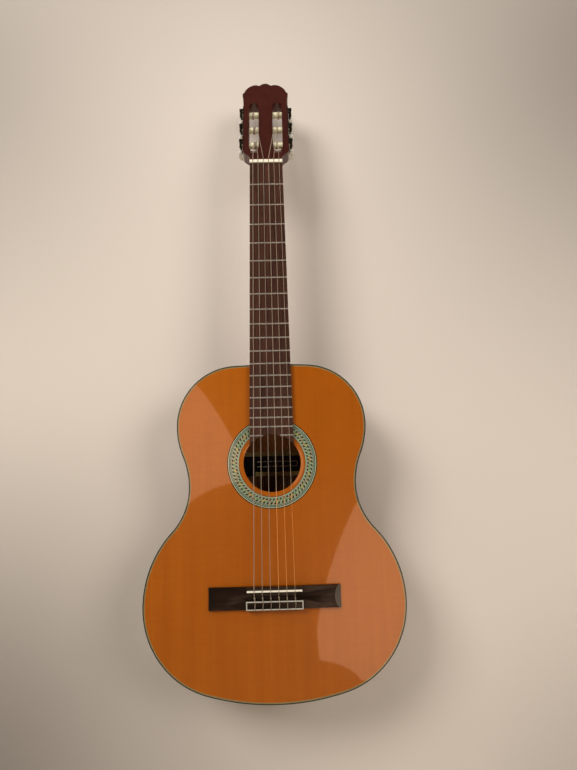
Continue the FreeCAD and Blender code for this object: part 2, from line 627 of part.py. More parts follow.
saddle_blank = box("saddle_blank", "sizes.saddleLong", "sizes.saddleTop - sizes.saddleFoot", "sizes.saddleThick",
                   ("-sizes.saddleLong / 2", "-sizes.saddleTop",
                    "-sizes.scaleLength - sizes.compensation - sizes.saddleThick / 2"))
doc.recompute()
crown_edges = [i for i, e in enumerate(saddle_blank.Shape.Edges, start=1)
               if all(abs(v.Y + size("saddleTop")) < 1e-6 for v in e.Vertexes) and e.Length > 10]
saddle = doc.addObject("Part::Fillet", "saddle")
saddle.Base = saddle_blank
saddle.Edges = [(i, 1.0, 1.0) for i in crown_edges]
node("saddle", saddle)

# ---------------------------------------------------------------- nut
nut_blank = box("nut_blank", "sizes.nutWidth", "sizes.nutTall", "sizes.nutThick",
                ("-sizes.nutWidth / 2", "-sizes.nutTall", 0))
nut_slots = []
for number, radius in enumerate(STRING_RADII, start=1):
    across, half = size("nutSpread") * (0.5 - (number - 1) / 5), radius + size("nutSlotGap")
    floor = -boardThick - size("action") + 0.04
    fall = size("nutSlotFall") / size("nutThick")
    side_face = Part.makePolygon([V(across - half, floor - fall, -1), V(across - half, floor + 7 * fall, 7),
                                  V(across - half, -20, 7), V(across - half, -20, -1),
                                  V(across - half, floor - fall, -1)])
    nut_slots.append(feature(f"nut_slot_{number}", Part.Face(side_face).extrude(V(2 * half, 0, 0))))
node("nut", cut("nut", nut_blank, *nut_slots))

# ---------------------------------------------------------------- tuning machines
module, teeth = size("gearModule"), int(size("gearTeeth"))
gear_pitch = module * teeth / 2
worm_pitch = math.pi * module
lead = math.atan(worm_pitch / (2 * math.pi * size("wormPitchRadius")))
worm_lift = gear_pitch + size("wormPitchRadius") + size("meshGap")
worm_x = size("headHalf") + size("plateThick") + size("wormOut")
gear_half = size("gearWide") / 2


def gear_wire(x, turn):
    """Involute tooth outline about the X axis with a tooth space pointing up the head."""
    press = math.radians(20)
    base = gear_pitch * math.cos(press)
    tip, root = gear_pitch + module, gear_pitch - 1.25 * module
    half_tooth = math.pi / (2 * teeth) - size("backlash") / (2 * gear_pitch)

    def flank(radius):
        angle = math.acos(min(1.0, base / radius))
        return half_tooth + (math.tan(press) - press) - (math.tan(angle) - angle)

    radii = [root, base, gear_pitch, (gear_pitch + tip) / 2, tip]
    side = [(r, flank(max(r, base))) for r in radii]
    points = []
    for tooth in range(teeth):
        middle = 2 * math.pi * (tooth + 0.5) / teeth
        for r, a in [(r, -a) for r, a in side] + list(reversed(side)):
            points.append(V(x, r * math.sin(middle + a), r * math.cos(middle + a)))
    wire = Part.makePolygon(points + points[:1])
    wire.rotate(V(x, 0, 0), V(1, 0, 0), math.degrees(turn))
    return wire


twist = gear_half * math.tan(lead) / gear_pitch
gear_shape = Part.makeLoft([gear_wire(-gear_half, -twist), gear_wire(gear_half, twist)], True, True)
gear_shape = gear_shape.cut(Part.makeBox(20, size("squareSide") + 0.1, size("squareSide") + 0.1,
                            V(-10, -size("squareSide") / 2 - 0.05, -size("squareSide") / 2 - 0.05)))

worm_root = size("wormPitchRadius") - 1.25 * module
worm_tip = size("wormPitchRadius") + module
worm_long = worm_pitch * size("wormTurns")


def thread_half(radius):
    return worm_pitch / 4 - size("backlash") / 2 - (radius - size("wormPitchRadius")) * math.tan(math.radians(20))


under = worm_root - 0.25
profile = [V(under, 0, -thread_half(under)), V(worm_tip, 0, -thread_half(worm_tip)),
           V(worm_tip, 0, thread_half(worm_tip)), V(under, 0, thread_half(under))]
helix = Part.makeHelix(worm_pitch, worm_long, size("wormPitchRadius"))
thread = Part.Wire(helix).makePipeShell([Part.makePolygon(profile + profile[:1])], True, True)
span, ear = size("earSpan"), size("earThick")
# along the shaft, zero is the start of the thread's centre line; the gear sits at its middle
middle = worm_long / 2
worm = Part.makeCylinder(worm_root, span, V(0, 0, middle - span / 2))
worm = worm.fuse(thread)
for start, end, radius in (
        (middle - span / 2 - ear - 0.6, middle - span / 2 + 0.7, size("shaftRadius")),
        (middle - span / 2 + 0.1, middle - span / 2 + 0.7, size("shaftRadius") + 1),
        (middle + span / 2 - 0.7, middle + span / 2 - 0.1, size("shaftRadius") + 1),
        (middle + span / 2 - 0.7, middle + 22.5, size("shaftRadius")),
        (middle + span / 2 + ear + 0.1, middle + span / 2 + ear + 1.0, size("shaftRadius") + 1.2)):
    worm = worm.fuse(Part.makeCylinder(radius, end - start, V(0, 0, start)))
worm = worm.removeSplitter()
half_turn = FreeCAD.Rotation(V(0, 1, 1), 180)


def plate_parts(name):
    """Treble side plate with bearing ears, in the head frame."""
    out = "sizes.headHalf"
    parts = [box(f"{name}_bar", "sizes.plateThick", "2 * sizes.plateHalf", f"{plate_high} - {plate_low}",
                 (out, "sizes.rollerDeep - sizes.plateHalf", plate_low))]
    for end, level in (("low", plate_low), ("high", plate_high)):
        parts.append(rod(f"{name}_{end}_round", "sizes.plateHalf", "sizes.plateThick",
                         (out, "sizes.rollerDeep", level), "X"))
    bores = []
    lift = "sizes.gearModule * sizes.gearTeeth / 2 + sizes.wormPitchRadius + sizes.meshGap"
    for number, station in enumerate(stations, start=1):
        for row, start in (("front", "sizes.rollerDeep - sizes.earSpan / 2 - sizes.earThick"),
                           ("rear", "sizes.rollerDeep + sizes.earSpan / 2")):
            parts.append(box(f"{name}_{row}_ear_{number}", "sizes.plateThick + sizes.wormOut + sizes.earHalf",
                             "sizes.earThick", "2 * sizes.earHalf",
                             (out, start, f"{station} + {lift} - sizes.earHalf")))
        bores.append(rod(f"{name}_shaft_bore_{number}", "sizes.shaftRadius + sizes.plateGap", "sizes.earSpan + 8",
                         (f"{out} + sizes.plateThick + sizes.wormOut",
                          "sizes.rollerDeep - sizes.earSpan / 2 - 4", f"{station} + {lift}"), "Y"))
        bores.append(rod(f"{name}_roller_bore_{number}", "sizes.pinRadius + sizes.plateGap", 10,
                         (f"{out} - 4", "sizes.rollerDeep", station), "X"))
    for number, level in enumerate(screw_levels, start=1):
        bores.append(rod(f"{name}_screw_bore_{number}", 1.2, 10, (f"{out} - 4", "sizes.rollerDeep", level), "X"))
    return cut(name, fuse(f"{name}_sheet", *parts), *bores)


plate = plate_parts("plate_treble")
plate.Placement = head_frame
node("plate_treble", plate)
node("plate_bass", mirrored("plate_bass", plate))

screws = []
for number, level in enumerate(screw_levels, start=1):
    head = rod(f"plate_screw_head_{number}", 2.3, 1.2,
               ("sizes.headHalf + sizes.plateThick", "sizes.rollerDeep", level), "X")
    shank = rod(f"plate_screw_shank_{number}", 1.05, 9.2,
                ("sizes.headHalf + sizes.plateThick - 9", "sizes.rollerDeep", level), "X")
    groove = box(f"plate_screw_slot_{number}", 1, 6, 0.6,
                 ("sizes.headHalf + sizes.plateThick + 0.6", "sizes.rollerDeep - 3", f"{level} - 0.3"))
    screws.append(cut(f"plate_screw_{number}", fuse(f"plate_screw_blank_{number}", head, shank), groove))
treble_screws = doc.addObject("Part::Compound", "treble_screws")
treble_screws.Links = screws
treble_screws.Placement = head_frame
plate_screws = doc.addObject("Part::Compound", "plate_screws")
plate_screws.Links = [treble_screws, mirrored("bass_screws", treble_screws)]
node("plate_screws", plate_screws)

gear_x = "(sizes.headHalf + sizes.plateThick + sizes.wormOut)"
for number, station in enumerate(stations, start=1):
    level = size("rollerFirst") + (number - 1) * size("rollerPitch")
    deep = "sizes.rollerDeep"
    barrel = rod(f"barrel_{number}", "sizes.rollerRadius", "sizes.headHalf - 0.3 - sizes.slotInner - 0.5",
                 ("sizes.slotInner + 0.5", deep, station), "X")
    pin = rod(f"pin_{number}", "sizes.pinRadius", f"{gear_x} - sizes.gearWide / 2 - 0.1 - sizes.pinEnd",
              ("sizes.pinEnd", deep, station), "X")
    square = box(f"square_{number}", "sizes.gearWide + 0.4", "sizes.squareSide", "sizes.squareSide",
                 (f"{gear_x} - sizes.gearWide / 2 - 0.5", f"{deep} - sizes.squareSide / 2",
                  f"{station} - sizes.squareSide / 2"))
    cross = rod(f"string_bore_{number}", "sizes.stringBore / 2", "sizes.rollerRadius * 4",
                ("(sizes.slotInner + sizes.slotOuter) / 2", f"{deep} - sizes.rollerRadius * 2", station), "Y")
    tapped = rod(f"tapped_{number}", 1.0, 8, (f"{gear_x} + sizes.gearWide / 2 - 7", deep, station), "X")
    roller = cut(f"roller_blank_{number}", fuse(f"roller_body_{number}", barrel, pin, square), cross, tapped)
    gear = feature(f"gear_blank_{number}", gear_shape.copy())
    gear.Placement = head_frame.multiply(FreeCAD.Placement(V(worm_x, size("rollerDeep"), level), FreeCAD.Rotation()))
    screw_head = rod(f"gear_screw_head_{number}", 2.6, 1.3, (f"{gear_x} + sizes.gearWide / 2", deep, station), "X")
    screw_shank = rod(f"gear_screw_shank_{number}", 0.95, 6.3,
                      (f"{gear_x} + sizes.gearWide / 2 - 6", deep, station), "X")
    screw_slot = box(f"gear_screw_slot_{number}", 1, 6, 0.7,
                     (f"{gear_x} + sizes.gearWide / 2 + 0.7", f"{deep} - 3", f"{station} - 0.35"))
    screw = cut(f"gear_screw_blank_{number}", fuse(f"gear_screw_body_{number}", screw_head, screw_shank), screw_slot)
    shaft_part = feature(f"worm_blank_{number}", worm.copy())
    shaft_part.Placement = head_frame.multiply(FreeCAD.Placement(
        V(worm_x, size("rollerDeep") - middle, level + worm_lift), half_turn))
    paddle_face = Part.Face(Part.Wire(Part.Ellipse(
        V(0, 0, 0), size("buttonLong") / 2, size("buttonWide") / 2).toShape()))
    paddle = paddle_face.extrude(V(0, 0, size("buttonThick")))
    paddle = paddle.makeFillet(size("buttonThick") * 0.36, [e for e in paddle.Edges if e.Length > 20])
    paddle.translate(V(0, 0, -size("buttonThick") / 2))
    paddle.rotate(V(0, 0, 0), V(0, 0, 1), 90)
    button_y = size("buttonStart") + 2 + size("buttonLong") / 2
    paddle.translate(V(0, button_y, 0))
    collar = Part.makeCylinder(size("buttonCollar"), 5, V(0, size("buttonStart"), 0), V(0, 1, 0))
    bore_end = size("rollerDeep") + 22.6
    bore = Part.makeCylinder(size("shaftRadius") + 0.02, bore_end - 10, V(0, 10, 0), V(0, 1, 0))
    button = feature(f"button_blank_{number}", paddle.fuse(collar).cut(bore).removeSplitter())
    button.Placement = head_frame.multiply(FreeCAD.Placement(V(worm_x, 0, level + worm_lift), FreeCAD.Rotation()))
    for part in (roller, screw):
        part.Placement = head_frame
    for name, part in (("roller", roller), ("gear", gear), ("gear_screw", screw),
                       ("worm_shaft", shaft_part), ("button", button)):
        node(f"{name}_{number}", part)
        node(f"{name}_{7 - number}", mirrored(f"{name}_{7 - number}", part))

# ---------------------------------------------------------------- strings


def string_poles(number):
    """Centre line from the tie at the bridge, over saddle and nut, to the turns on the roller."""
    radius = STRING_RADII[number - 1]
    share = 0.5 - (number - 1) / 5
    side = 1 if number <= 3 else -1
    at_nut, at_saddle = size("nutSpread") * share, size("saddleSpread") * share
    gap = 2.3 * radius
    tie_high = -size("scaleLength") + size("bridgeAbove") - size("bridgeWide") + size("tieBlock")
    tie_low = tie_high - size("tieBlock")
    top = -size("tieBlockTall") - radius - 0.3
    hole = -size("tieHoleUp")
    saddle_y = -size("saddleTop") - radius
    knot_z = tie_high + 3.2
    slope = (saddle_y - hole) / (saddleZ - tie_high)
    knot_y = hole + slope * (knot_z - tie_high)
    poles = []
    for step in range(-2, 11):
        a = 2 * math.pi * step / 10
        poles.append(V(at_saddle + gap * math.cos(a), knot_y + gap * math.sin(a), knot_z + 0.105 * step * gap))
    poles.reverse()
    poles += [V(at_saddle + gap, top, tie_high + 0.6), V(at_saddle + gap, top, tie_high - 2),
              V(at_saddle + gap * 0.8, top, (tie_high + tie_low) / 2), V(at_saddle + gap * 0.5, top, tie_low + 2),
              V(at_saddle + gap * 0.3, top, tie_low - radius - 0.6), V(at_saddle, hole, tie_low - radius - 0.8),
              V(at_saddle, hole, tie_low + 2), V(at_saddle, hole, tie_high - 2), V(at_saddle, hole, tie_high + 0.3)]
    run = V(at_saddle, saddle_y, saddleZ) - V(at_saddle, hole, tie_high)
    poles += [V(at_saddle, hole, tie_high) + run * f for f in (0.35, 0.65, 0.9)]
    nut_y = -boardThick - size("action") - radius
    start, end = V(at_saddle, saddle_y - 0.42, saddleZ), V(at_nut, nut_y, 0)
    poles += [start + (end - start) * f for f in (0.0, 0.004, 0.33, 0.66, 0.996)]
    rear = V(at_nut, nut_y - 0.1, size("nutThick") + 0.2)
    poles += [end, rear]
    local = head_frame.inverse().multVec(rear)
    step = size("rollerFirst") + (3 - abs(3.5 - number) - 0.5) * size("rollerPitch")
    ring_radius = size("rollerRadius") + radius + size("windGap")
    centre_t, centre_s = size("rollerDeep"), step
    away_t, away_s = centre_t - local.y, centre_s - local.z
    distance = math.hypot(away_t, away_s)
    first = math.atan2(away_t, away_s) - math.asin(ring_radius / distance)
    outside = ("crossFirst", "crossSecond", "crossThird")[min(number, 7 - number) - 1]
    cross_at = side * ((size("slotInner") + size("slotOuter")) / 2 + size(outside))
    drift = -side * (2 * radius + 0.12) if number in (1, 6) else side * (2 * radius + 0.12)
    meet = V(cross_at, centre_t - ring_radius * math.cos(first), centre_s + ring_radius * math.sin(first))
    lead_in = [local + (meet - local) * f for f in (1.5 / (meet - local).Length, 0.33, 0.66, 0.95)]
    swell = ring_radius / ((2 + math.cos(math.radians(15))) / 3)
    turns = []
    for index in range(1, int(24 * size("windings"))):
        a = first + math.radians(15) * index
        turns.append(V(cross_at + drift * index / 24, centre_t - swell * math.cos(a), centre_s + swell * math.sin(a)))
    poles += [head_frame.multVec(p) for p in lead_in]
    return poles, [head_frame.multVec(p) for p in turns]


def tube(curve, stops, radius):
    """Round cord along a curve: one section at each stop, kept free of twist, and capped ends."""
    across, rings, skin = V(0.3, 0.8, 0.5), [], []
    for stop in stops:
        along = curve.tangentAt(stop)
        across = across - along * across.dot(along)
        across.normalize()
        ring = Part.makeCircle(radius)
        ring.Placement = FreeCAD.Placement(curve.valueAt(stop), FreeCAD.Rotation(
            across, along.cross(across), along, "ZXY"))
        rings.append(ring)
    for low, high in zip(rings, rings[1:]):
        skin.append(Part.makeRuledSurface(low, high, 1))
    skin += [Part.Face(Part.Wire(rings[0])), Part.Face(Part.Wire(rings[-1]))]
    shell = Part.makeShell(skin)
    shell.sewShape()
    cord = Part.makeSolid(shell)
    cord.fix(1e-4, 1e-5, 1e-3)
    if cord.Volume < 0:
        cord.reverse()
    print("cord", round(cord.Volume, 1), "of", round(math.pi * radius ** 2 * curve.Length, 1), "mm3")
    return cord


for number, radius in enumerate(STRING_RADII, start=1):
    run, turns = string_poles(number)
    path = spline(run + turns)
    stops = [step / 2 for step in range(2 * len(run) - 4)]
    stops += list(range(len(run) - 2, len(run) + len(turns) - 2))
    node(f"string_{number}", feature(f"string_{number}", tube(path, stops, radius)))

# ---------------------------------------------------------------- check and write
doc.recompute()
os.makedirs("parts", exist_ok=True)
for obj in doc.Objects:
    if any(state in ("Invalid", "Error") for state in obj.State):
        raise RuntimeError(f"{obj.Label} is in state {obj.State}")
for name, obj in nodes.items():
    shape = obj.Shape
    if shape.isNull() or not shape.isValid() or not shape.Solids:
        raise RuntimeError(f"{name} has no sound solid")
    shape.exportStep(f"parts/{name}.step")
    print(name, len(shape.Solids), "solids", round(shape.Volume), "mm3")
print(len(nodes), "parts written")
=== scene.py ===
import math

import bmesh
import bpy
from mathutils import Matrix, Vector


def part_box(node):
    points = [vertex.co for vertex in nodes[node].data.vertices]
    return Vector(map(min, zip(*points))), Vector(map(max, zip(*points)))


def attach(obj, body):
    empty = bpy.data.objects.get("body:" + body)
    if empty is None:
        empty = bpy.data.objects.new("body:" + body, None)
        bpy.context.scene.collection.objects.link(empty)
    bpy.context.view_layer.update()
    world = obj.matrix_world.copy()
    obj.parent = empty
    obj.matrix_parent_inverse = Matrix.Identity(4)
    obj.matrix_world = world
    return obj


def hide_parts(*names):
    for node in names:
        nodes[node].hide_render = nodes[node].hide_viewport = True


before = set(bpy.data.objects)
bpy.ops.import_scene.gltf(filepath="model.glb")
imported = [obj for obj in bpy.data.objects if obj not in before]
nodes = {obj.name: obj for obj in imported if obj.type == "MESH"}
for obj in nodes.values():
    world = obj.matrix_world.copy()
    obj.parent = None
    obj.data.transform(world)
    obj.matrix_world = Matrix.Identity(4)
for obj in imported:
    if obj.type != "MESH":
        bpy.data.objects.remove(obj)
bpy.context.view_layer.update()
print("frame loaded:", len(nodes), "parts")


# lengths are in millimetres, as on a luthier's drawing, and become metres when a mesh is made;
# the bridge's wings, the room, its lamps and the camera are in metres
def metres(points):
    return [Vector(p) * 0.001 for p in points]


# ---- shader graph helpers

class Wire:
    def __init__(self, paint, socket):
        self.paint, self.socket = paint, socket

    def work(self, operation, first, second):
        return self.paint.node("ShaderNodeMath", {"operation": operation}, {0: first, 1: second})

    def __add__(self, other):
        return self.work("ADD", self, other)

    def __sub__(self, other):
        return self.work("SUBTRACT", self, other)

    def __rsub__(self, other):
        return self.work("SUBTRACT", other, self)

    def __mul__(self, other):
        return self.work("MULTIPLY", self, other)

    def __truediv__(self, other):
        return self.work("DIVIDE", self, other)

    def __rtruediv__(self, other):
        return self.work("DIVIDE", other, self)

    def __pow__(self, other):
        return self.work("POWER", self, other)

    def __mod__(self, other):
        return self.work("FLOORED_MODULO", self, other)

    def __gt__(self, other):
        return self.work("GREATER_THAN", self, other)

    def __lt__(self, other):
        return self.work("LESS_THAN", self, other)

    __radd__ = __add__
    __rmul__ = __mul__


def tint(code):
    values = [int(code[i:i + 2], 16) / 255 for i in (0, 2, 4)]
    return tuple(v / 12.92 if v < 0.04045 else ((v + 0.055) / 1.055) ** 2.4 for v in values) + (1.0,)


class Paint:
    def __init__(self, name, **shader):
        self.material = bpy.data.materials.new(name)
        self.material.use_nodes = True
        self.tree = self.material.node_tree
        self.surface = self.tree.nodes["Principled BSDF"]
        for key, value in shader.items():
            self.set(key, value)

    def set(self, socketName, value):
        socket = self.surface.inputs[socketName.replace("_", " ")]
        self.feed(socket, value)

    def feed(self, socket, value):
        if isinstance(value, Wire):
            self.tree.links.new(value.socket, socket)
        else:
            socket.default_value = value

    def node(self, kind, settings=None, inputs=None, out=0):
        made = self.tree.nodes.new(kind)
        for key, value in (settings or {}).items():
            if key == "stops":
                ramp = made.color_ramp
                while len(ramp.elements) < len(value):
                    ramp.elements.new(0.5)
                for element, (place, colour) in zip(ramp.elements, value):
                    element.position = place
                    element.color = colour
            else:
                setattr(made, key, value)
        for key, value in (inputs or {}).items():
            self.feed(made.inputs[key], value)
        return Wire(self, made.outputs[out])

    def place(self):
        return self.node("ShaderNodeTexCoord", out="Object")

    def stretched(self, scale):
        return self.node("ShaderNodeMapping", {}, {"Vector": self.place(), "Scale": scale})

    def noise(self, vector, scale, detail=3.0, rough=0.5, distortion=0.0):
        return self.node("ShaderNodeTexNoise", {}, {
            "Vector": vector, "Scale": scale, "Detail": detail, "Roughness": rough, "Distortion": distortion})

    def mix(self, amount, first, second):
        # sockets 6 and 7 and output 2 are the colour ones
        return self.node("ShaderNodeMix", {"data_type": "RGBA"}, {0: amount, 6: first, 7: second}, out=2)

    def ramp(self, amount, stops):
        return self.node("ShaderNodeValToRGB", {"stops": stops}, {0: amount})

    def bump(self, height, distance, strength=1.0, under=None):
        inputs = {"Height": height, "Distance": distance, "Strength": strength}
        if under:
            inputs["Normal"] = under
        return self.node("ShaderNodeBump", {}, inputs)

    def split(self, vector):
        parts = self.node("ShaderNodeSeparateXYZ", {}, {0: vector}).socket.node
        return [Wire(self, socket) for socket in parts.outputs]


def grey(value):
    return (value, value, value, 1)


# ---- woods

def woodPaint(name, shades, grain, length, figure, pores, gloss, coat=0.0, waves=0.0, along="z", paintedFacetLight=()):
    # grain is fibres per metre across, length is their stretch along the board
    dark, mid, light = (tint(code) for code in shades.split())
    paint = Paint(name, Roughness=gloss, Coat_Weight=coat, Coat_Roughness=0.04)
    scale = (1, 1, 1 / length) if along == "z" else (1 / length, 1, 1)
    fibre = paint.noise(paint.stretched(scale), grain, 4, 0.65, 0.4)
    bands = paint.noise(paint.stretched(scale), grain * 0.09, 3, 0.6, 1.2)
    cloud = paint.noise(paint.stretched((1, 1, 0.5)), 7, 2)
    tone = fibre * 0.45 + bands * figure + cloud * (0.55 - figure * 0.5)
    colour = paint.ramp(tone, [(0.28, dark), (0.52, mid), (0.78, light)])
    poreLine = paint.noise(paint.stretched(tuple(s * (1 if s == 1 else 1.6) for s in scale)), grain * 0.8, 2)
    pore = paint.ramp(poreLine, [(0.33, grey(1)), (0.40, grey(0))])
    colour = paint.mix(pore * pores, colour, tuple(c * 0.35 for c in dark[:3]) + (1,))
    # painted light: each facet listed here is painted lighter or darker, as a painted highlight or painted
    # shade
    for centre, radius, shade in paintedFacetLight:
        away = paint.node("ShaderNodeVectorMath", {"operation": "DISTANCE"},
                          {0: paint.place(), 1: centre}, out="Value")
        colour = paint.mix((away < radius) * (fibre * 0.5 + 0.6), colour, shade)
    paint.set("Base_Color", colour)
    fine = paint.bump(fibre - pore * pores, 0.00006 if coat < 0.5 else 0.00001)
    if waves:
        ripple = paint.noise(paint.place(), 11, 1.5, 0.45)
        fine = paint.bump(ripple, waves, 1.0, fine)
    paint.set("Normal", fine)
    return paint.material


top = {
    "dark": tint("9a4c02"), "mid": tint("a65504"), "light": tint("b46008"),
    "growth": 720, "ripple": 0.0005,
}


def topPaint():
    paint = Paint("amberSpruce", Roughness=0.32, Coat_Weight=1.0, Coat_Roughness=0.03)
    lines = paint.noise(paint.stretched((1, 1, 0.012)), top["growth"], 2, 0.5)
    broad = paint.noise(paint.stretched((1, 1, 0.03)), 55, 3, 0.6)
    cloud = paint.noise(paint.stretched((1, 1, 0.7)), 6, 2)
    silk = paint.noise(paint.stretched((0.25, 1, 1)), 160, 2, 0.5, 1.0)
    tone = lines * 0.22 + broad * 0.30 + cloud * 0.36 + silk * 0.14
    paint.set("Base_Color", paint.ramp(tone, [(0.35, top["dark"]), (0.52, top["mid"]), (0.7, top["light"])]))
    grainBump = paint.bump(lines, 0.00001)
    ripple = paint.noise(paint.place(), 9, 1.2, 0.4)
    normal = paint.bump(ripple, top["ripple"], 1.0, grainBump)
    paint.set("Normal", normal)
    return paint.material


# each wing end of the bridge is hollowed by a large sphere; its facet gets painted light, a painted highlight
# on the right end and painted shade on the left end
wing = {"thick": 0.0042, "scoop": 0.080, "out": 0.0167, "lift": 0.076, "skin": 0.00006,
        "shades": ("5c5248", "1c1510")}
bridgeLow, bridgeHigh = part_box("bridge")
wingAcross = (bridgeHigh[0] + wing["out"], bridgeLow[0] - wing["out"])
wingUp = (bridgeLow[2] + bridgeHigh[2]) / 2
paintedScoopLight = [((x, -wing["thick"] - wing["lift"], wingUp), wing["scoop"] + wing["skin"], tint(shade))
          for x, shade in zip(wingAcross, wing["shades"])]

woodLooks = {
    # shades run from dark to light
    "body": {"name": "glossyMahogany", "shades": "2a0f08 4a1e10 6a3018", "grain": 700, "length": 18,
             "figure": 0.4, "pores": 0.5, "gloss": 0.3, "coat": 1.0, "waves": 0.0004},
    "neck": {"name": "neckMahogany", "shades": "2a1108 48200f 683418", "grain": 900, "length": 20,
             "figure": 0.3, "pores": 0.5, "gloss": 0.36, "coat": 0.35, "waves": 0.0003},
    "head": {"name": "headVeneer", "shades": "260d0a 3c1813 54241a", "grain": 900, "length": 20,
             "figure": 0.3, "pores": 0.35, "gloss": 0.32, "coat": 0.7, "waves": 0.0003},
    "board": {"name": "fingerboardRosewood", "shades": "1c100c 35211a 55352a", "grain": 1300, "length": 26,
              "figure": 0.45, "pores": 0.6, "gloss": 0.42},
    "bridge": {"name": "bridgeRosewood", "shades": "090503 160c07 2c1c12", "grain": 1300, "length": 24,
               "figure": 0.5, "pores": 0.6, "gloss": 0.3, "along": "x", "paintedFacetLight": paintedScoopLight},
    "binding": {"name": "darkBinding", "shades": "12100c 1c1812 2a241a", "grain": 1300, "length": 24,
                "figure": 0.2, "pores": 0.2, "gloss": 0.3, "coat": 0.8},
    "inner": {"name": "rawCedar", "shades": "94562a b87038 d08c4c", "grain": 800, "length": 18,
              "figure": 0.4, "pores": 0.4, "gloss": 0.7},
}
woods = {"top": topPaint()}
for part, look in woodLooks.items():
    woods[part] = woodPaint(**look)
print("woods ready")


# ---- finishes that aren't wood

def metalPaint(name, colour, rough, brushed=0.0, direction=(1, 1, 30), metallic=1.0):
    paint = Paint(name, Metallic=metallic)
    cloud = paint.noise(paint.place(), 130, 3)
    streak = paint.noise(paint.stretched(direction), 600, 2)
    dark = tuple(c * 0.72 for c in colour[:3]) + (1,)
    paint.set("Base_Color", paint.mix(cloud * 0.6 + streak * 0.25, dark, colour))
    paint.set("Roughness", cloud * 0.12 + streak * brushed + rough)
    paint.set("Normal", paint.bump(streak, 0.000006 + brushed * 0.00002))
    return paint.material


def plasticPaint(name, first, second, rough, scale, coat=0.3):
    paint = Paint(name, Coat_Weight=coat, Coat_Roughness=0.08)
    cloud = paint.noise(paint.place(), scale, 4, 0.6, 1.5)
    speck = paint.noise(paint.place(), 2600, 2)
    paint.set("Base_Color", paint.mix(cloud, first, second))
    paint.set("Roughness", speck * 0.15 + rough)
    paint.set("Normal", paint.bump(speck + cloud, 0.00001))
    return paint.material


def pearlPaint():
    paint = Paint("pearlButton", Coat_Weight=1.0, Coat_Roughness=0.05)
    swirl = paint.noise(paint.place(), 90, 5, 0.55, 3.5)
    veil = paint.noise(paint.stretched((1, 1, 0.4)), 210, 3, 0.5, 2.0)
    paint.set("Base_Color", paint.ramp(swirl * 0.65 + veil * 0.35, [
        (0.34, tint("b4ada2")), (0.5, tint("e2ddd2")), (0.66, tint("f6f3ea"))]))
    paint.set("Roughness", veil * 0.2 + 0.16)
    paint.set("Normal", paint.bump(swirl, 0.00004))
    return paint.material


rosetteLook = {
    "centre": (0, -325 - 148.4), "inner": 48.8, "outer": 66.5, "tiles": 66,
    "field": tint("62755c"), "pale": tint("b4ba98"), "dark": tint("040604"),
    "green": tint("3f7a4a"), "gold": tint("c49a2a"), "rose": tint("a85a4a"), "teal": tint("567874"),
    "line": tint("26382f"),
    # places from the inner to the outer edge: low, high, count beside tiles, lean, filled share, shade
    "dashes": ((0.35, 0.45, 1, 0, 0.5, "green"), (0.30, 0.48, 1 / 4, 1.5, 0.12, "gold"),
               (0.12, 0.64, 1 / 6, -1.5, 0.07, "rose"), (0.16, 0.32, 1, 2.0, 0.52, "dark"),
               (0.47, 0.63, 1, 2.0, 0.52, "dark"), (0.72, 0.80, 2, 0, 0.5, "teal")),
    "bands": ((0.0, 0.045, "dark"), (0.045, 0.09, "pale"), (0.09, 0.12, "teal"), (0.68, 0.72, "line"),
              (0.80, 0.86, "line"), (0.86, 0.92, "pale"), (0.92, 1.0, "dark")),
}


def rosettePaint():
    look = rosetteLook
    paint = Paint("rosetteMosaic", Roughness=0.35, Coat_Weight=1.0, Coat_Roughness=0.03)
    x, y, z = paint.split(paint.place())
    up = z - look["centre"][1] * 0.001
    radius = (x * x + up * up) ** 0.5 * 1000
    angle = paint.node("ShaderNodeMath", {"operation": "ARCTAN2"}, {0: up, 1: x}) / (2 * math.pi) + 0.5
    lane = (radius - look["inner"]) / (look["outer"] - look["inner"])

    def band(low, high):
        return (lane > low) * (lane < high)

    def dashes(low, high, count, lean, share):
        turn = (angle * count + lane * lean) % 1.0
        return band(low, high) * (turn < share)

    wander = paint.noise(paint.place(), 420, 2)
    colour = paint.mix(wander, look["field"], look["pale"])
    for low, high, count, lean, share, shade in look["dashes"]:
        colour = paint.mix(dashes(low, high, look["tiles"] * count, lean, share), colour, look[shade])
    for low, high, shade in look["bands"]:
        colour = paint.mix(band(low, high), colour, look[shade])
    paint.set("Base_Color", colour)
    ripple = paint.noise(paint.place(), 9, 1.2, 0.4)
    paint.set("Normal", paint.bump(ripple, top["ripple"]))
    return paint.material


labelLook = {
    "top": -325 - 130, "side": 46, "black": (7.5, 33), "barSide": -30, "barLow": 60,
    "line": (16.5, 24.5), "lineHalf": 0.65, "lineFrom": -27, "lineRound": 36,
    "foot": 40, "ruledLow": 58, "ruledStep": 6.0, "ruledWide": 1.2,
}


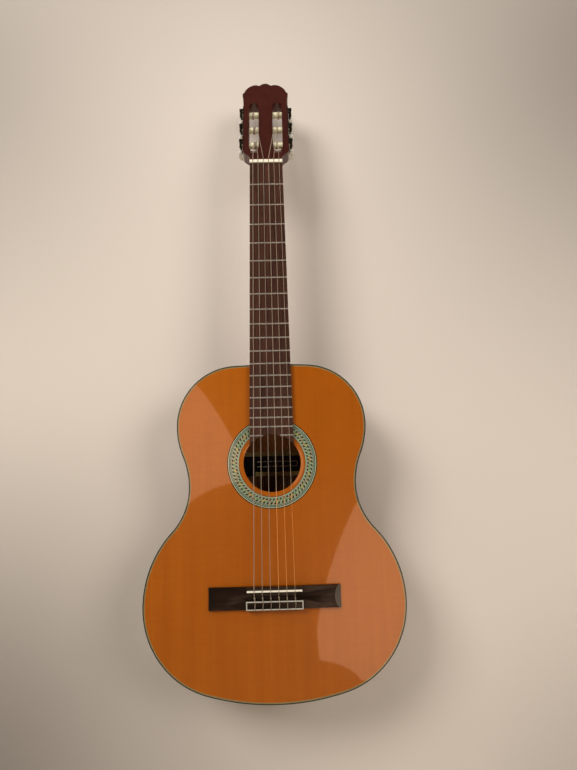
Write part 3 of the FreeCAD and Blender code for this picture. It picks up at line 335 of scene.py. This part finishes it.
def labelPaint():
    look = labelLook
    paint = Paint("agedLabel", Roughness=0.75)
    x, y, z = paint.split(paint.place())
    down = look["top"] - z * 1000
    across = x * 1000
    side = paint.node("ShaderNodeMath", {"operation": "ABSOLUTE"}, {0: across})
    stain = paint.noise(paint.place(), 45, 4, 0.6)
    colour = paint.mix(stain, tint("b09858"), tint("ccb470"))
    high, low = look["black"]
    panel = (down > high) * (down < low) * (side < look["side"])
    colour = paint.mix(panel, colour, tint("08080b"))
    bar = (across < look["barSide"]) * (down > high) * (down < look["barLow"])
    colour = paint.mix(bar, colour, tint("0a0b12"))
    # a thin printed outline with a rounded right end
    first, last = look["line"]
    middle, half = (first + last) / 2, (last - first) / 2
    past = paint.node("ShaderNodeMath", {"operation": "MAXIMUM"}, {0: across - look["lineRound"], 1: 0.0})
    rise = down - middle
    reach = (past * past + rise * rise) ** 0.5
    ring = (reach > half - look["lineHalf"]) * (reach < half + look["lineHalf"])
    colour = paint.mix(ring * (across > look["lineFrom"]), colour, tint("f0ecd4"))
    foot = (down > look["foot"]) * (side < look["side"])
    colour = paint.mix(foot, colour, tint("5c3820"))
    marks = (across % look["ruledStep"] < look["ruledWide"]) * (down > look["foot"])
    marks = marks * (down < look["ruledLow"])
    colour = paint.mix(marks * 0.5, colour, tint("8c7044"))
    paint.set("Base_Color", colour)
    paint.set("Normal", paint.bump(stain, 0.00004))
    return paint.material


def woundPaint():
    paint = Paint("woundBass", Metallic=0.45, Roughness=0.3)
    uv = paint.node("ShaderNodeUVMap", {"uv_map": "along"})
    u, v, w = paint.split(uv)
    turn = paint.node("ShaderNodeMath", {"operation": "SINE"}, {0: (u * 1000 / 0.32 + v) * (2 * math.pi)})
    tarnish = paint.noise(paint.place(), 40, 3)
    paint.set("Base_Color", paint.mix(tarnish, tint("b09c88"), tint("d8c4b0")))
    paint.set("Roughness", tarnish * 0.2 + 0.24)
    paint.set("Normal", paint.bump(turn, 0.00004))
    return paint.material


def nylonPaint():
    paint = Paint("clearNylon", Roughness=0.2, IOR=1.5, Coat_Weight=0.6, Coat_Roughness=0.08)
    haze = paint.noise(paint.stretched((1, 1, 0.05)), 500, 2)
    # over the soundboard the clear string is painted amber and made less clear, a painted highlight standing
    # in for the lit soundboard shining through and off it
    x, y, z = paint.split(paint.place())
    paintedAmberHighlight = paint.node("ShaderNodeMapRange", {"interpolation_type": "SMOOTHSTEP"}, {
        "Value": z, "From Min": -0.5, "From Max": -0.53, "To Min": 0.0, "To Max": 1.0}) * (z > -0.646)
    colour = paint.mix(haze, tint("b8a088"), tint("d8c4a8"))
    paint.set("Base_Color", paint.mix(paintedAmberHighlight, colour, tint("f2a458")))
    paint.set("Alpha", haze * 0.15 + paintedAmberHighlight * 0.14 + 0.32)
    paint.set("Normal", paint.bump(haze, 0.00001))
    return paint.material


def wallPaint(name, colour, shade):
    # one-sided, so the wall never hides the guitar from behind
    paint = Paint(name, Roughness=0.9)
    cloud = paint.noise(paint.place(), 1.4, 3)
    stipple = paint.noise(paint.place(), 420, 2)
    x, y, z = paint.split(paint.place())
    # painted shade: the wall is darkened in the soft spots listed in the room, one of them a painted shadow
    # behind the head
    paintedShade = None
    for across, high, radius, strength in room["paintedShadowSpots"]:
        away = ((x - across) * (x - across) + (z - high) * (z - high)) ** 0.5 / radius
        near = paint.node("ShaderNodeMapRange", {"interpolation_type": "SMOOTHSTEP"},
                          {"Value": away, "From Min": 1.0, "From Max": 0.0,
                           "To Min": 1.0, "To Max": 1 - strength})
        paintedShade = near if paintedShade is None else paintedShade * near
    colour = paint.mix(cloud * 0.5, colour, shade)
    paint.set("Base_Color", paint.mix(paintedShade, (0, 0, 0, 1), colour))
    paint.set("Normal", paint.bump(stipple, 0.00008))
    clear = paint.node("ShaderNodeBsdfTransparent")
    behind = paint.node("ShaderNodeNewGeometry", out="Backfacing")
    front = Wire(paint, paint.surface.outputs[0])
    shown = paint.node("ShaderNodeMixShader", {}, {0: behind, 1: front, 2: clear})
    paint.feed(paint.tree.nodes["Material Output"].inputs["Surface"], shown)
    return paint.material


def purflingPaint(name, colour):
    paint = Paint(name, Roughness=0.35, Coat_Weight=1.0, Coat_Roughness=0.03)
    fleck = paint.noise(paint.place(), 500, 2)
    paint.set("Base_Color", paint.mix(fleck * 0.4, colour, tuple(c * 0.7 for c in colour[:3]) + (1,)))
    paint.set("Normal", paint.bump(fleck, 0.00001))
    return paint.material


finishes = {
    "bone": plasticPaint("bone", tint("f0e6ca"), tint("fbf5e4"), 0.35, 90),
    "greyBone": plasticPaint("greyedInlay", tint("a8a294"), tint("c2bcae"), 0.4, 120),
    "roller": plasticPaint("rollerPlastic", tint("e6dcb4"), tint("f8f0d0"), 0.4, 90),
    "chrome": metalPaint("polishedNickel", tint("c9c5bc"), 0.14),
    "worm": metalPaint("darkSteel", tint("6a6862"), 0.3),
    "brass": metalPaint("darkBrass", tint("7c6640"), 0.32),
    "fret": metalPaint("fretWire", tint("efebe2"), 0.18, 0.1, (1, 1, 20), 0.75),
    "pearl": pearlPaint(), "rosette": rosettePaint(), "label": labelPaint(),
    "wound": woundPaint(), "nylon": nylonPaint(),
    "cream": purflingPaint("creamLine", tint("a69a6a")), "black": purflingPaint("blackLine", tint("1a1812")),
}
print("finishes ready")


# ---- mesh helpers

def addPiece(name, points, faces, paints, body="guitar", replaces=(), slot=None, smooth=38, faceSlots=None):
    mesh = bpy.data.meshes.new(name)
    mesh.from_pydata(metres(points), [], faces)
    for paint in paints:
        mesh.materials.append(paint)
    if faceSlots:
        for polygon, index in zip(mesh.polygons, faceSlots):
            polygon.material_index = index
    build = bmesh.new()
    build.from_mesh(mesh)
    bmesh.ops.remove_doubles(build, verts=build.verts, dist=1e-6)
    bmesh.ops.recalc_face_normals(build, faces=build.faces)
    build.to_mesh(mesh)
    build.free()
    return settle(bpy.data.objects.new(name, mesh), body, replaces, smooth)


def settle(piece, body, replaces, smooth):
    if piece.name not in bpy.context.scene.collection.objects:
        bpy.context.scene.collection.objects.link(piece)
    piece.data.shade_smooth()
    piece.data.set_sharp_from_angle(angle=math.radians(smooth))
    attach(piece, body)
    if replaces:
        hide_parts(*replaces)
    return piece


def soften(piece, width, angle=35, segments=2):
    edge = piece.modifiers.new("edge", "BEVEL")
    edge.width, edge.segments, edge.limit_method = width * 0.001, segments, "ANGLE"
    edge.angle_limit = math.radians(angle)
    edge.harden_normals = True
    edge.use_clamp_overlap = True
    return piece


def refined(node, paint, body="guitar", bevel=0.3, smooth=35):
    # a welded copy of a machined part with its sharp edges broken
    piece = bpy.data.objects.new("fine_" + node, nodes[node].data.copy())
    piece.data.materials.clear()
    piece.data.materials.append(paint)
    build = bmesh.new()
    build.from_mesh(piece.data)
    bmesh.ops.remove_doubles(build, verts=build.verts, dist=2e-6)
    bmesh.ops.dissolve_limit(build, angle_limit=math.radians(0.5), verts=build.verts, edges=build.edges)
    build.to_mesh(piece.data)
    build.free()
    settle(piece, body, [node], smooth)
    return soften(piece, bevel) if bevel else piece


def stitchLoops(loops, closed=True):
    # quads between loops of equal length
    points = [p for loop in loops for p in loop]
    size, faces = len(loops[0]), []
    for row in range(len(loops) - 1):
        for i in range(size if closed else size - 1):
            j = (i + 1) % size
            a, b = row * size, (row + 1) * size
            faces.append((a + i, a + j, b + j, b + i))
    return points, faces


# ---- body outline, the same tangent arcs as the solids

body = {
    "joint": -325.0, "length": 481.0, "depth": 100.0, "dome": 4500.0,
    "lower": (188.4, 134.0, 125.2, 149.6), "waist": (122.8, 299.4), "upper": (141.0, 390.0, 120.0, 89.6),
    "top": 2.6, "rib": 2.4, "back": 2.8, "binding": 1.8, "bindingTall": 5.0, "purfling": 1.5, "hole": 42.2,
    "outlineStep": 4.0, "ringSteps": 120,
}
tail = body["joint"] - body["length"]
hole = Vector((0, 0, body["joint"] - 148.4))


def outlineArcs():
    wl, zl, rl, r2 = body["lower"]
    ww, zw = body["waist"]
    wu, zu, r4, ru = body["upper"]
    span = body["length"] - zu
    low = math.hypot(wl - ww, zw - zl) ** 2 / (2 * (wl - ww)) - r2
    high = math.hypot(wu - ww, zu - zw) ** 2 / (2 * (wu - ww)) - r4
    foot = ((wl - rl) ** 2 + zl ** 2 - rl ** 2) / (2 * (zl - rl))
    crown = ((wu - ru) ** 2 + span ** 2 - ru ** 2) / (2 * (span - ru))
    return [(0, foot, foot, 1), (wl - rl, zl, rl, 1), (wl - r2, zl, r2, 1), (ww + low, zw, low, -1),
            (ww + high, zw, high, -1), (wu - r4, zu, r4, 1), (wu - ru, zu, ru, 1),
            (0, body["length"] - crown, crown, 1)]


def halfOutline(inset):
    # right-hand side from tail to neck
    base = outlineArcs()
    joins = []
    for a, b in zip(base, base[1:]):
        away = Vector((b[0] - a[0], b[1] - a[1])).normalized()
        if a[3] != b[3] or a[2] > b[2]:
            joins.append(Vector(a[:2]) + away * a[2])
        else:
            joins.append(Vector(b[:2]) - away * b[2])
    joins = [Vector((0, 0))] + joins + [Vector((0, body["length"]))]
    points = []
    for (x, z, r, bend), start, end in zip(base, joins, joins[1:]):
        centre = Vector((x, z))
        first, last = start - centre, end - centre
        sweep = first.angle_signed(last, 0)
        count = max(3, int(abs(sweep) * r / body["outlineStep"]))
        for i in range(count):
            turn = -sweep * i / count
            arm = Matrix.Rotation(turn, 2) @ first.normalized()
            points.append(centre + arm * (r - bend * inset))
    points.append(Vector((0, body["length"] - inset)))
    points[0].x = 0
    return points


def outlineLoop(inset):
    right = halfOutline(inset)
    left = [Vector((-p.x, p.y)) for p in reversed(right[1:-1])]
    return right + left


def backDepth(x, z, inset=0.0):
    middle = tail + body["length"] / 2
    radius = body["dome"] - inset
    return body["depth"] - body["dome"] + math.sqrt(radius ** 2 - x * x - (z - middle) ** 2)


def loopAt(inset, depth):
    return [(p.x, depth, tail + p.y) for p in outlineLoop(inset)]


def onBack(points, under=0.0):
    return [(p.x, backDepth(p.x, tail + p.y, under), tail + p.y) for p in points]


def flatWithHole(outer, inner):
    # flat plate between an outer and an inner loop, filled with triangles
    build = bmesh.new()
    rims = []
    for loop in (outer, inner):
        verts = [build.verts.new(p) for p in loop]
        rims += [build.edges.new((a, b)) for a, b in zip(verts, verts[1:] + verts[:1])]
    bmesh.ops.triangle_fill(build, edges=rims, use_beauty=True)
    build.verts.index_update()
    points = [tuple(v.co) for v in build.verts]
    faces = [[v.index for v in f.verts] for f in build.faces]
    build.free()
    return points, faces


def circleLoop(radius, depth):
    count = body["ringSteps"]
    return [(hole.x + radius * math.cos(2 * math.pi * i / count), depth,
             hole.z + radius * math.sin(2 * math.pi * i / count)) for i in range(count)]


def joinParts(*parts):
    points, faces, slots = [], [], []
    for slot, (somePoints, someFaces) in parts:
        base = len(points)
        points += somePoints
        faces += [[i + base for i in face] for face in someFaces]
        slots += [slot] * len(someFaces)
    return points, faces, slots


shell = {
    # how far in and how deep the rounded edges run: front and back binding, then the soundhole's rim
    "frontRound": ((0, 1.0), (0.12, 0.5), (0.4, 0.16), (0.9, 0)),
    "rearRound": ((0, 1.0), (0.15, 0.4), (0.8, 0)),
    "rimRound": ((0.5, 0), (0.15, 0.15), (0, 0.5)),
    "ribRows": (0, 0.25, 0.5, 0.75, 1), "neckGap": 9.0,
    "backMiddle": 290, "backRings": (1, 0.93, 0.8, 0.62, 0.42, 0.2, 0.04),
}


def makeSoundbox():
    edge, purf = body["binding"], body["binding"] + body["purfling"]
    topThick = body["top"]
    # soundboard with the rim of the soundhole rounded over
    rim = [circleLoop(body["hole"] + wider, depth) for wider, depth in shell["rimRound"]]
    rim.append(circleLoop(body["hole"], topThick))
    face = flatWithHole(loopAt(purf, 0), circleLoop(rosetteLook["outer"], 0))
    ringIn = stitchLoops([circleLoop(rosetteLook["inner"], 0), rim[0]])
    under = flatWithHole(loopAt(edge, topThick), circleLoop(body["hole"], topThick))
    points, faces, slots = joinParts((0, face), (0, ringIn), (0, stitchLoops(rim)), (1, under))
    addPiece("soundboardFace", points, faces, [woods["top"], woods["inner"]], replaces=["soundboard"],
             slot="soundboard_wood", faceSlots=slots, smooth=30)
    points, faces = stitchLoops([circleLoop(rosetteLook["outer"], 0), circleLoop(rosetteLook["inner"], 0)])
    addPiece("rosetteRing", points, faces, [finishes["rosette"]], replaces=["rosette"], slot="rosette_mosaic")
    third = body["purfling"] / 3
    strips = [loopAt(edge + third * i, 0) for i in range(4)]
    lines = joinParts(*[(i % 2, stitchLoops(strips[i:i + 2])) for i in range(3)])
    addPiece("purflingLines", *lines[:2], [finishes["cream"], finishes["black"]], replaces=["top_purfling"],
             slot="purfling_wood", faceSlots=lines[2])
    tall = body["bindingTall"]
    front = [loopAt(inset, depth) for inset, depth in ((0, tall), *shell["frontRound"], (edge, 0))]
    rear = [[(x, y - depth, z) for x, y, z in onBack(outlineLoop(inset))]
            for inset, depth in ((0, tall), *shell["rearRound"], (edge, 0))]
    points, faces, slots = joinParts((0, stitchLoops(front)), (0, stitchLoops(rear)))
    addPiece("bodyBinding", points, faces, [woods["binding"]], replaces=["bindings"],
             slot="binding_wood", smooth=50)
    # ribs: outside and inside faces, split at the centre
    for name, side in (("rib_treble", 1), ("rib_bass", -1)):
        rows = []
        for inset, flip in ((0.0, 1), (body["rib"], -1)):
            half = [p for p in halfOutline(inset) if p.y < body["length"] / 2 or p.x > shell["neckGap"]]
            firstRow = [(side * p.x, tall, tail + p.y) for p in half]
            lastRow = [(side * p.x, backDepth(p.x, tail + p.y) - tall, tail + p.y) for p in half]
            between = [[tuple(Vector(a).lerp(Vector(b), f)) for a, b in zip(firstRow, lastRow)]
                       for f in shell["ribRows"]]
            rows.append(stitchLoops(between, closed=False))
        points, faces, slots = joinParts((0, rows[0]), (1, rows[1]))
        addPiece("side_" + name, points, faces, [woods["body"], woods["inner"]], replaces=[name],
                 slot="body_wood", faceSlots=slots, smooth=60)
    # domed back
    centre = Vector((0, shell["backMiddle"]))
    shells = []
    for under, slotNumber in ((0.0, 0), (body["back"], 1)):
        outer = outlineLoop(edge)
        loops = [onBack([centre.lerp(p, share) for p in outer], under) for share in shell["backRings"]]
        points, faces = stitchLoops(loops)
        faces.append([len(points) - len(outer) + i for i in range(len(outer))])
        shells.append((slotNumber, (points, faces)))
    points, faces, slots = joinParts(*shells)
    addPiece("domedBack", points, faces, [woods["body"], woods["inner"]], replaces=["back_panel"],
             slot="body_wood", faceSlots=slots, smooth=60)
    for name in ("linings", "tail_block", "top_braces", "back_braces"):
        paintNode(name, woods["inner"])
    paintNode("label", finishes["label"])


def paintNode(name, paint):
    nodes[name].data.materials.clear()
    nodes[name].data.materials.append(paint)


makeSoundbox()
print("soundbox built")


# ---- neck, head and everything on them

headLook = {"tilt": 15, "hinge": 5}
tilt = math.radians(headLook["tilt"])


def headPoint(x, t, s):
    # across the tilted head, into it and up along it
    return Vector((x, t * math.cos(tilt) + s * math.sin(tilt),
                   headLook["hinge"] - t * math.sin(tilt) + s * math.cos(tilt)))


neckLook = {"nutWidth": 52.0, "taper": 0.029538, "boardThick": 6.5, "scale": 650.0, "frets": 19,
            "crownWide": 2.4, "crownTall": 1.1, "sink": 0.02, "archStep": 15,
            "ends": ((0, 0.0), (0.5, 0.8), (1.1, 1))}


def halfWidth(z):
    return (neckLook["nutWidth"] - neckLook["taper"] * z) / 2


def makeNeck():
    refined("neck", woods["neck"], bevel=0.0, smooth=32)
    refined("heel_cap", woods["neck"], bevel=0.4)
    refined("head_plate", woods["head"], bevel=0.7)
    refined("fingerboard", woods["board"], bevel=0.35)
    refined("nut", finishes["bone"], bevel=0.4)


def makeFrets():
    # each crown is a low arch with its ends dressed back
    thick, tall, half = neckLook["boardThick"], neckLook["crownTall"], neckLook["crownWide"] / 2
    rim = hole.z + body["hole"]
    points, faces = [], []
    for number in range(1, neckLook["frets"] + 1):
        z = neckLook["scale"] * (2 ** (-number / 12) - 1)
        edge = halfWidth(z)
        spans = [(-edge, edge)]
        if z < rim:
            cut = math.sqrt(body["hole"] ** 2 - (z - hole.z) ** 2)
            spans = [(-edge, -cut), (cut, edge)]
        for low, high in spans:
            stations = [(low + away, share) for away, share in neckLook["ends"]]
            stations += [(high - away, share) for away, share in reversed(neckLook["ends"])]
            rows = []
            for x, share in stations:
                rows.append([(x, -thick + neckLook["sink"] if abs(a) == 90
                              else -thick - tall * share * math.cos(math.radians(a)),
                              z + half * math.sin(math.radians(a)))
                             for a in range(-90, 91, neckLook["archStep"])])
            rowPoints, rowFaces = stitchLoops(rows, closed=False)
            base = len(points)
            points += rowPoints
            faces += [[i + base for i in face] for face in rowFaces]
    addPiece("fretCrowns", points, faces, [finishes["fret"]], replaces=["frets"], slot="fret_metal", smooth=70)


makeNeck()
makeFrets()
print("neck and head built")


# ---- bridge

def makeBridge():
    refined("bridge", woods["bridge"], bevel=0.35)
    refined("saddle", finishes["bone"], bevel=0.0)
    refined("tie_block_frame", finishes["greyBone"], bevel=0.15)


makeBridge()
print("bridge built")


# ---- tuning machines

tunerParts = {
    # part: (finish, what it turns with, width of its broken edges, slot)
    "roller": ("roller", "spool", 0.3, "roller_plastic"), "gear": ("worm", "spool", 0.0, "gear_metal"),
    "gear_screw": ("brass", "spool", 0.12, "screw_metal"), "worm_shaft": ("worm", "knob", 0.0, "worm_metal"),
    "button": ("pearl", "knob", 0.6, "pearl_plastic"),
}


def makeTuners():
    for name in ("plate_treble", "plate_bass"):
        refined(name, finishes["chrome"], bevel=0.25)
    refined("plate_screws", finishes["brass"], bevel=0.1)
    for i in range(1, 7):
        for part, (finish, turning, bevel, slot) in tunerParts.items():
            refined(f"{part}_{i}", finishes[finish], f"{turning}_{i}", bevel)


makeTuners()
print("tuning machines built")


# ---- strings

stringLook = {
    "radius": (0.36, 0.41, 0.51, 0.38, 0.45, 0.55), "nutSpread": 41.8, "saddleSpread": 57.8, "saddleZ": -652.6,
    "tieHigh": -665.8, "tieLow": -677.8, "tieTall": 9.4, "tieHole": 5.0, "saddleTop": 11.0, "action": 1.0,
    "windings": 3.6, "windGap": 0.45, "slotMiddle": 19.5, "crossing": (0.0, -2.0, 0.2),
    "knotUp": 3.2, "knotRise": 0.105, "loopWide": 2.3, "crestGap": 0.3, "ridgeSink": 0.42, "pastNut": 5.2,
    "rollerFirst": 43.3, "rollerApart": 35.0, "rollerRadius": 5.0, "rollerDeep": 7.25, "turnGap": 0.12,
    "turnStep": 15, "sides": 16, "perSpan": 4,
}


def stringPoles(number):
    look, radius = stringLook, stringLook["radius"][number - 1]
    share, side = 0.5 - (number - 1) / 5, 1 if number <= 3 else -1
    atNut, atSaddle = look["nutSpread"] * share, look["saddleSpread"] * share
    gap, high, low = look["loopWide"] * radius, look["tieHigh"], look["tieLow"]
    crest, through = -look["tieTall"] - radius - look["crestGap"], -look["tieHole"]
    ridge = -look["saddleTop"] - radius
    knotZ = high + look["knotUp"]
    knotY = through + (ridge - through) / (look["saddleZ"] - high) * (knotZ - high)
    # the knot, over the tie block, back through its hole, over the saddle and along the neck
    poles = [Vector((atSaddle + gap * math.cos(math.pi * i / 5), knotY + gap * math.sin(math.pi * i / 5),
                     knotZ + look["knotRise"] * i * gap)) for i in range(10, -3, -1)]
    for x, y, z in ((gap, crest, high + 0.6), (gap, crest, high - 2), (gap * 0.8, crest, (high + low) / 2),
                    (gap * 0.5, crest, low + 2), (gap * 0.3, crest, low - radius - 0.6),
                    (0, through, low - radius - 0.8), (0, through, low + 2), (0, through, high - 2),
                    (0, through, high + 0.3)):
        poles.append(Vector((atSaddle + x, y, z)))
    start, end = Vector((atSaddle, through, high)), Vector((atSaddle, ridge, look["saddleZ"]))
    poles += [start.lerp(end, f) for f in (0.35, 0.65, 0.9)]
    atRidge = Vector((atSaddle, ridge - look["ridgeSink"], look["saddleZ"]))
    nutY = -neckLook["boardThick"] - look["action"] - radius
    poles += [atRidge.lerp(Vector((atNut, nutY, 0)), f) for f in (0, 0.004, 0.33, 0.66, 0.996, 1)]
    rear = Vector((atNut, nutY - 0.1, look["pastNut"]))
    turned = Matrix.Rotation(-tilt, 3, "X") @ (rear - Vector((0, 0, headLook["hinge"])))
    # the outer strings go to the nearest rollers, the middle ones to the farthest
    step = look["rollerFirst"] + (3 - abs(3.5 - number) - 0.5) * look["rollerApart"]
    ring, deep = look["rollerRadius"] + radius + look["windGap"], look["rollerDeep"]
    awayT, awayS = deep - turned.y, step - turned.z
    first = math.atan2(awayT, awayS) - math.asin(ring / math.hypot(awayT, awayS))
    crossing = side * (look["slotMiddle"] + look["crossing"][min(number, 7 - number) - 1])
    drift = side * (2 * radius + look["turnGap"]) * (-1 if number in (1, 6) else 1)
    meet = Vector((crossing, deep - ring * math.cos(first), step + ring * math.sin(first)))
    poles.append(rear)
    poles += [headPoint(*turned.lerp(meet, f)) for f in (1.5 / (meet - turned).length, 0.33, 0.66, 0.95)]
    # a spline runs inside its poles, so these stand farther out than the turns
    turnStep, perTurn = math.radians(look["turnStep"]), 360 // look["turnStep"]
    swell = ring / ((2 + math.cos(turnStep)) / 3)
    for i in range(1, int(perTurn * look["windings"])):
        a = first + turnStep * i
        poles.append(headPoint(crossing + drift * i / perTurn,
                               deep - swell * math.cos(a), step + swell * math.sin(a)))
    return poles


def splinePoint(poles, knots, u):
    span = min(max(int(u) + 3, 3), len(poles) - 1)
    near = [poles[span - 3 + i].copy() for i in range(4)]
    for level in range(1, 4):
        for j in range(3, level - 1, -1):
            i = span - 3 + j
            share = (u - knots[i]) / (knots[i + 4 - level] - knots[i])
            near[j] = near[j - 1].lerp(near[j], share)
    return near[3]


def makeStrings():
    sides, perSpan = stringLook["sides"], stringLook["perSpan"]
    for number, radius in enumerate(stringLook["radius"], start=1):
        poles = stringPoles(number)
        last = len(poles) - 3
        knots = [0] * 4 + list(range(1, last)) + [last] * 4
        route = [splinePoint(poles, knots, i / perSpan) for i in range(last * perSpan)] + [poles[-1]]
        across, rings, lengths, run = Vector((0.3, 0.8, 0.5)), [], [], 0.0
        for i, point in enumerate(route):
            along = (route[min(i + 1, len(route) - 1)] - route[max(i - 1, 0)]).normalized()
            across = (across - along * across.dot(along)).normalized()
            other = along.cross(across)
            run += (point - route[i - 1]).length if i else 0
            lengths.append(run)
            rings.append([tuple(point + (across * math.cos(a) + other * math.sin(a)) * radius)
                          for a in [2 * math.pi * k / sides for k in range(sides)]])
        points, faces = stitchLoops(rings)
        faces += [list(range(sides)), list(range(len(points) - sides, len(points)))]
        wound = number > 3
        piece = addPiece(f"playedString{number}", points, faces, [finishes["wound" if wound else "nylon"]],
                         replaces=[f"string_{number}"], slot="wound_string" if wound else "nylon", smooth=60)
        layer = piece.data.uv_layers.new(name="along")
        for loop in piece.data.loops:
            row, around = divmod(loop.vertex_index, sides)
            layer.data[loop.index].uv = (lengths[row] * 0.001, around / sides)


makeStrings()
print("strings built")


# ---- room, camera and light

def stageSheet(name, corners, paint):
    mesh = bpy.data.meshes.new(name)
    mesh.from_pydata(corners, [], [(0, 1, 2, 3)])
    mesh.materials.append(paint)
    piece = bpy.data.objects.new(name, mesh)
    bpy.context.scene.collection.objects.link(piece)
    return piece


room = {
    "wallBehind": 0.118, "floor": -1.45, "reach": 4, "top": 3, "world": 0.036,
    "wallColour": "e0d4c9", "wallShade": "d9cdbf",
    # across, up, radius and strength of each soft painted shadow on the wall: broad painted shade over the
    # wall, and the last one a painted shadow behind the head
    "paintedShadowSpots": ((-0.55, -1.0, 0.75, 0.68), (0.75, 0.3, 0.9, 0.58), (-0.7, 0.3, 0.8, 0.5),
                 (0.0, 0.85, 0.75, 0.5), (0.6, -1.1, 0.5, 0.35), (0.0, 0.147, 0.066, 0.7)),
}


def glowPaint(name, colour, strength):
    # an emitting sheet whose brightness drifts a little
    paint = Paint(name, Roughness=1.0)
    drift = paint.noise(paint.place(), 1.1, 2)
    paint.set("Base_Color", (0, 0, 0, 1))
    paint.set("Emission_Color", paint.mix(drift * 0.3, colour, tuple(c * 0.8 for c in colour[:3]) + (1,)))
    paint.set("Emission_Strength", strength)
    return paint.material


def makeRoom():
    y, floor, far, high = room["wallBehind"], room["floor"], room["reach"], room["top"]
    wall = stageSheet("wallSheet", [(-far, y, floor), (far, y, floor), (far, y, high), (-far, y, high)],
                      wallPaint("warmWall", tint(room["wallColour"]), tint(room["wallShade"])))
    wall.visible_shadow = False
    ground = stageSheet("floorSheet",
                        [(-far, -far, floor), (far, -far, floor), (far, far, floor), (-far, far, floor)],
                        plasticPaint("paleFloor", tint("c8c0b2"), tint("d2cabd"), 0.7, 3, 0.0))
    ground.visible_glossy = False
    world = bpy.data.worlds.new("softRoom")
    bpy.context.scene.world = world
    world.use_nodes = True
    back = world.node_tree.nodes["Background"]
    back.inputs["Color"].default_value = (1, 0.85, 0.7, 1)
    back.inputs["Strength"].default_value = room["world"]


def bow(start, pull, end, count=8):
    # a smooth edge from start to end, drawn towards pull
    shares = [i / count for i in range(count + 1)]
    return [tuple((1 - f) ** 2 * a + 2 * f * (1 - f) * b + f * f * c for a, b, c in zip(start, pull, end))
            for f in shares]


cards = {
    # name: (outline across and up, strength), bright sheets that the lacquer mirrors
    "leftGlow": ([(-0.8, 0.36), *bow((-0.51, 0.0), (-0.38, -0.16), (-0.25, -0.43)),
                  *bow((-0.28, -0.6), (-0.46, -0.62), (-0.57, -0.72)), (-0.9, -0.93)], 2.3),
    "rightGlow": ([(0.9, -0.62), *bow((0.45, -0.75), (0.25, -1.12), (0.19, -1.47)),
                   *bow((0.2, -1.64), (0.4, -1.68), (0.44, -1.76)), (0.8, -1.82)], 2.45),
    "facetGlow": ([(1.2, -1.0), (1.75, -1.0), (1.75, -1.7), (1.2, -1.7)], 1.8),
}
cardLook = {"before": -2.5, "colour": (1, 0.6, 0.38, 1)}


def makeCards():
    for name, (corners, strength) in cards.items():
        mesh = bpy.data.meshes.new(name)
        mesh.from_pydata([(x, cardLook["before"], z) for x, z in corners], [], [list(range(len(corners)))])
        mesh.materials.append(glowPaint(name, cardLook["colour"], strength))
        card = bpy.data.objects.new(name, mesh)
        bpy.context.scene.collection.objects.link(card)
        card.visible_camera = card.visible_diffuse = card.visible_shadow = False


lamps = {
    # name: (place, aim, width, height, watts, colour)
    "windowLeft": ((-1.5, -2.0, 1.1), (0, 0, -0.4), 1.3, 1.1, 57, (1, 0.97, 0.93)),
    "windowRight": ((1.9, -2.3, 0.3), (0, 0, -0.4), 1.3, 1.3, 35, (1, 0.96, 0.91)),
    "behind": ((0.9, 2.3, 0.9), (0, 0.1, -0.4), 1.6, 1.6, 45, (1, 0.96, 0.91)),
    "above": ((-0.2, -1.1, 1.9), (0, 0.1, -0.1), 1.4, 0.7, 18, (1, 0.97, 0.93)),
}


def makeLamps():
    for name, (place, aim, width, height, watts, colour) in lamps.items():
        lamp = bpy.data.lights.new(name, "AREA")
        lamp.shape, lamp.size, lamp.size_y, lamp.energy, lamp.color = "RECTANGLE", width, height, watts, colour
        holder = bpy.data.objects.new(name, lamp)
        holder.location = place
        holder.rotation_euler = (Vector(aim) - Vector(place)).to_track_quat("-Z", "Y").to_euler()
        holder.visible_glossy = False
        bpy.context.scene.collection.objects.link(holder)


lens = {"place": (0.01739, -0.78014, -0.46987), "focal": 24.41, "yaw": 0.71, "pitch": 8.19, "roll": -1.44}


def makeCamera():
    yaw, pitch, roll = (math.radians(lens[k]) for k in ("yaw", "pitch", "roll"))
    ahead = Vector((math.sin(yaw) * math.cos(pitch), math.cos(yaw) * math.cos(pitch), math.sin(pitch)))
    flat = Vector((math.cos(yaw), -math.sin(yaw), 0))
    raised = flat.cross(ahead)
    right = flat * math.cos(roll) + raised * math.sin(roll)
    up = raised * math.cos(roll) - flat * math.sin(roll)
    eye = bpy.data.cameras.new("eye")
    eye.lens, eye.sensor_width = lens["focal"], 36
    holder = bpy.data.objects.new("eye", eye)
    bpy.context.scene.collection.objects.link(holder)
    turn = Matrix((right, up, -ahead)).transposed().to_4x4()
    holder.matrix_world = Matrix.Translation(lens["place"]) @ turn
    bpy.context.scene.camera = holder
    bpy.context.scene.view_settings.view_transform = "Standard"


makeRoom()
makeCards()
makeLamps()
makeCamera()

print("scene ready")
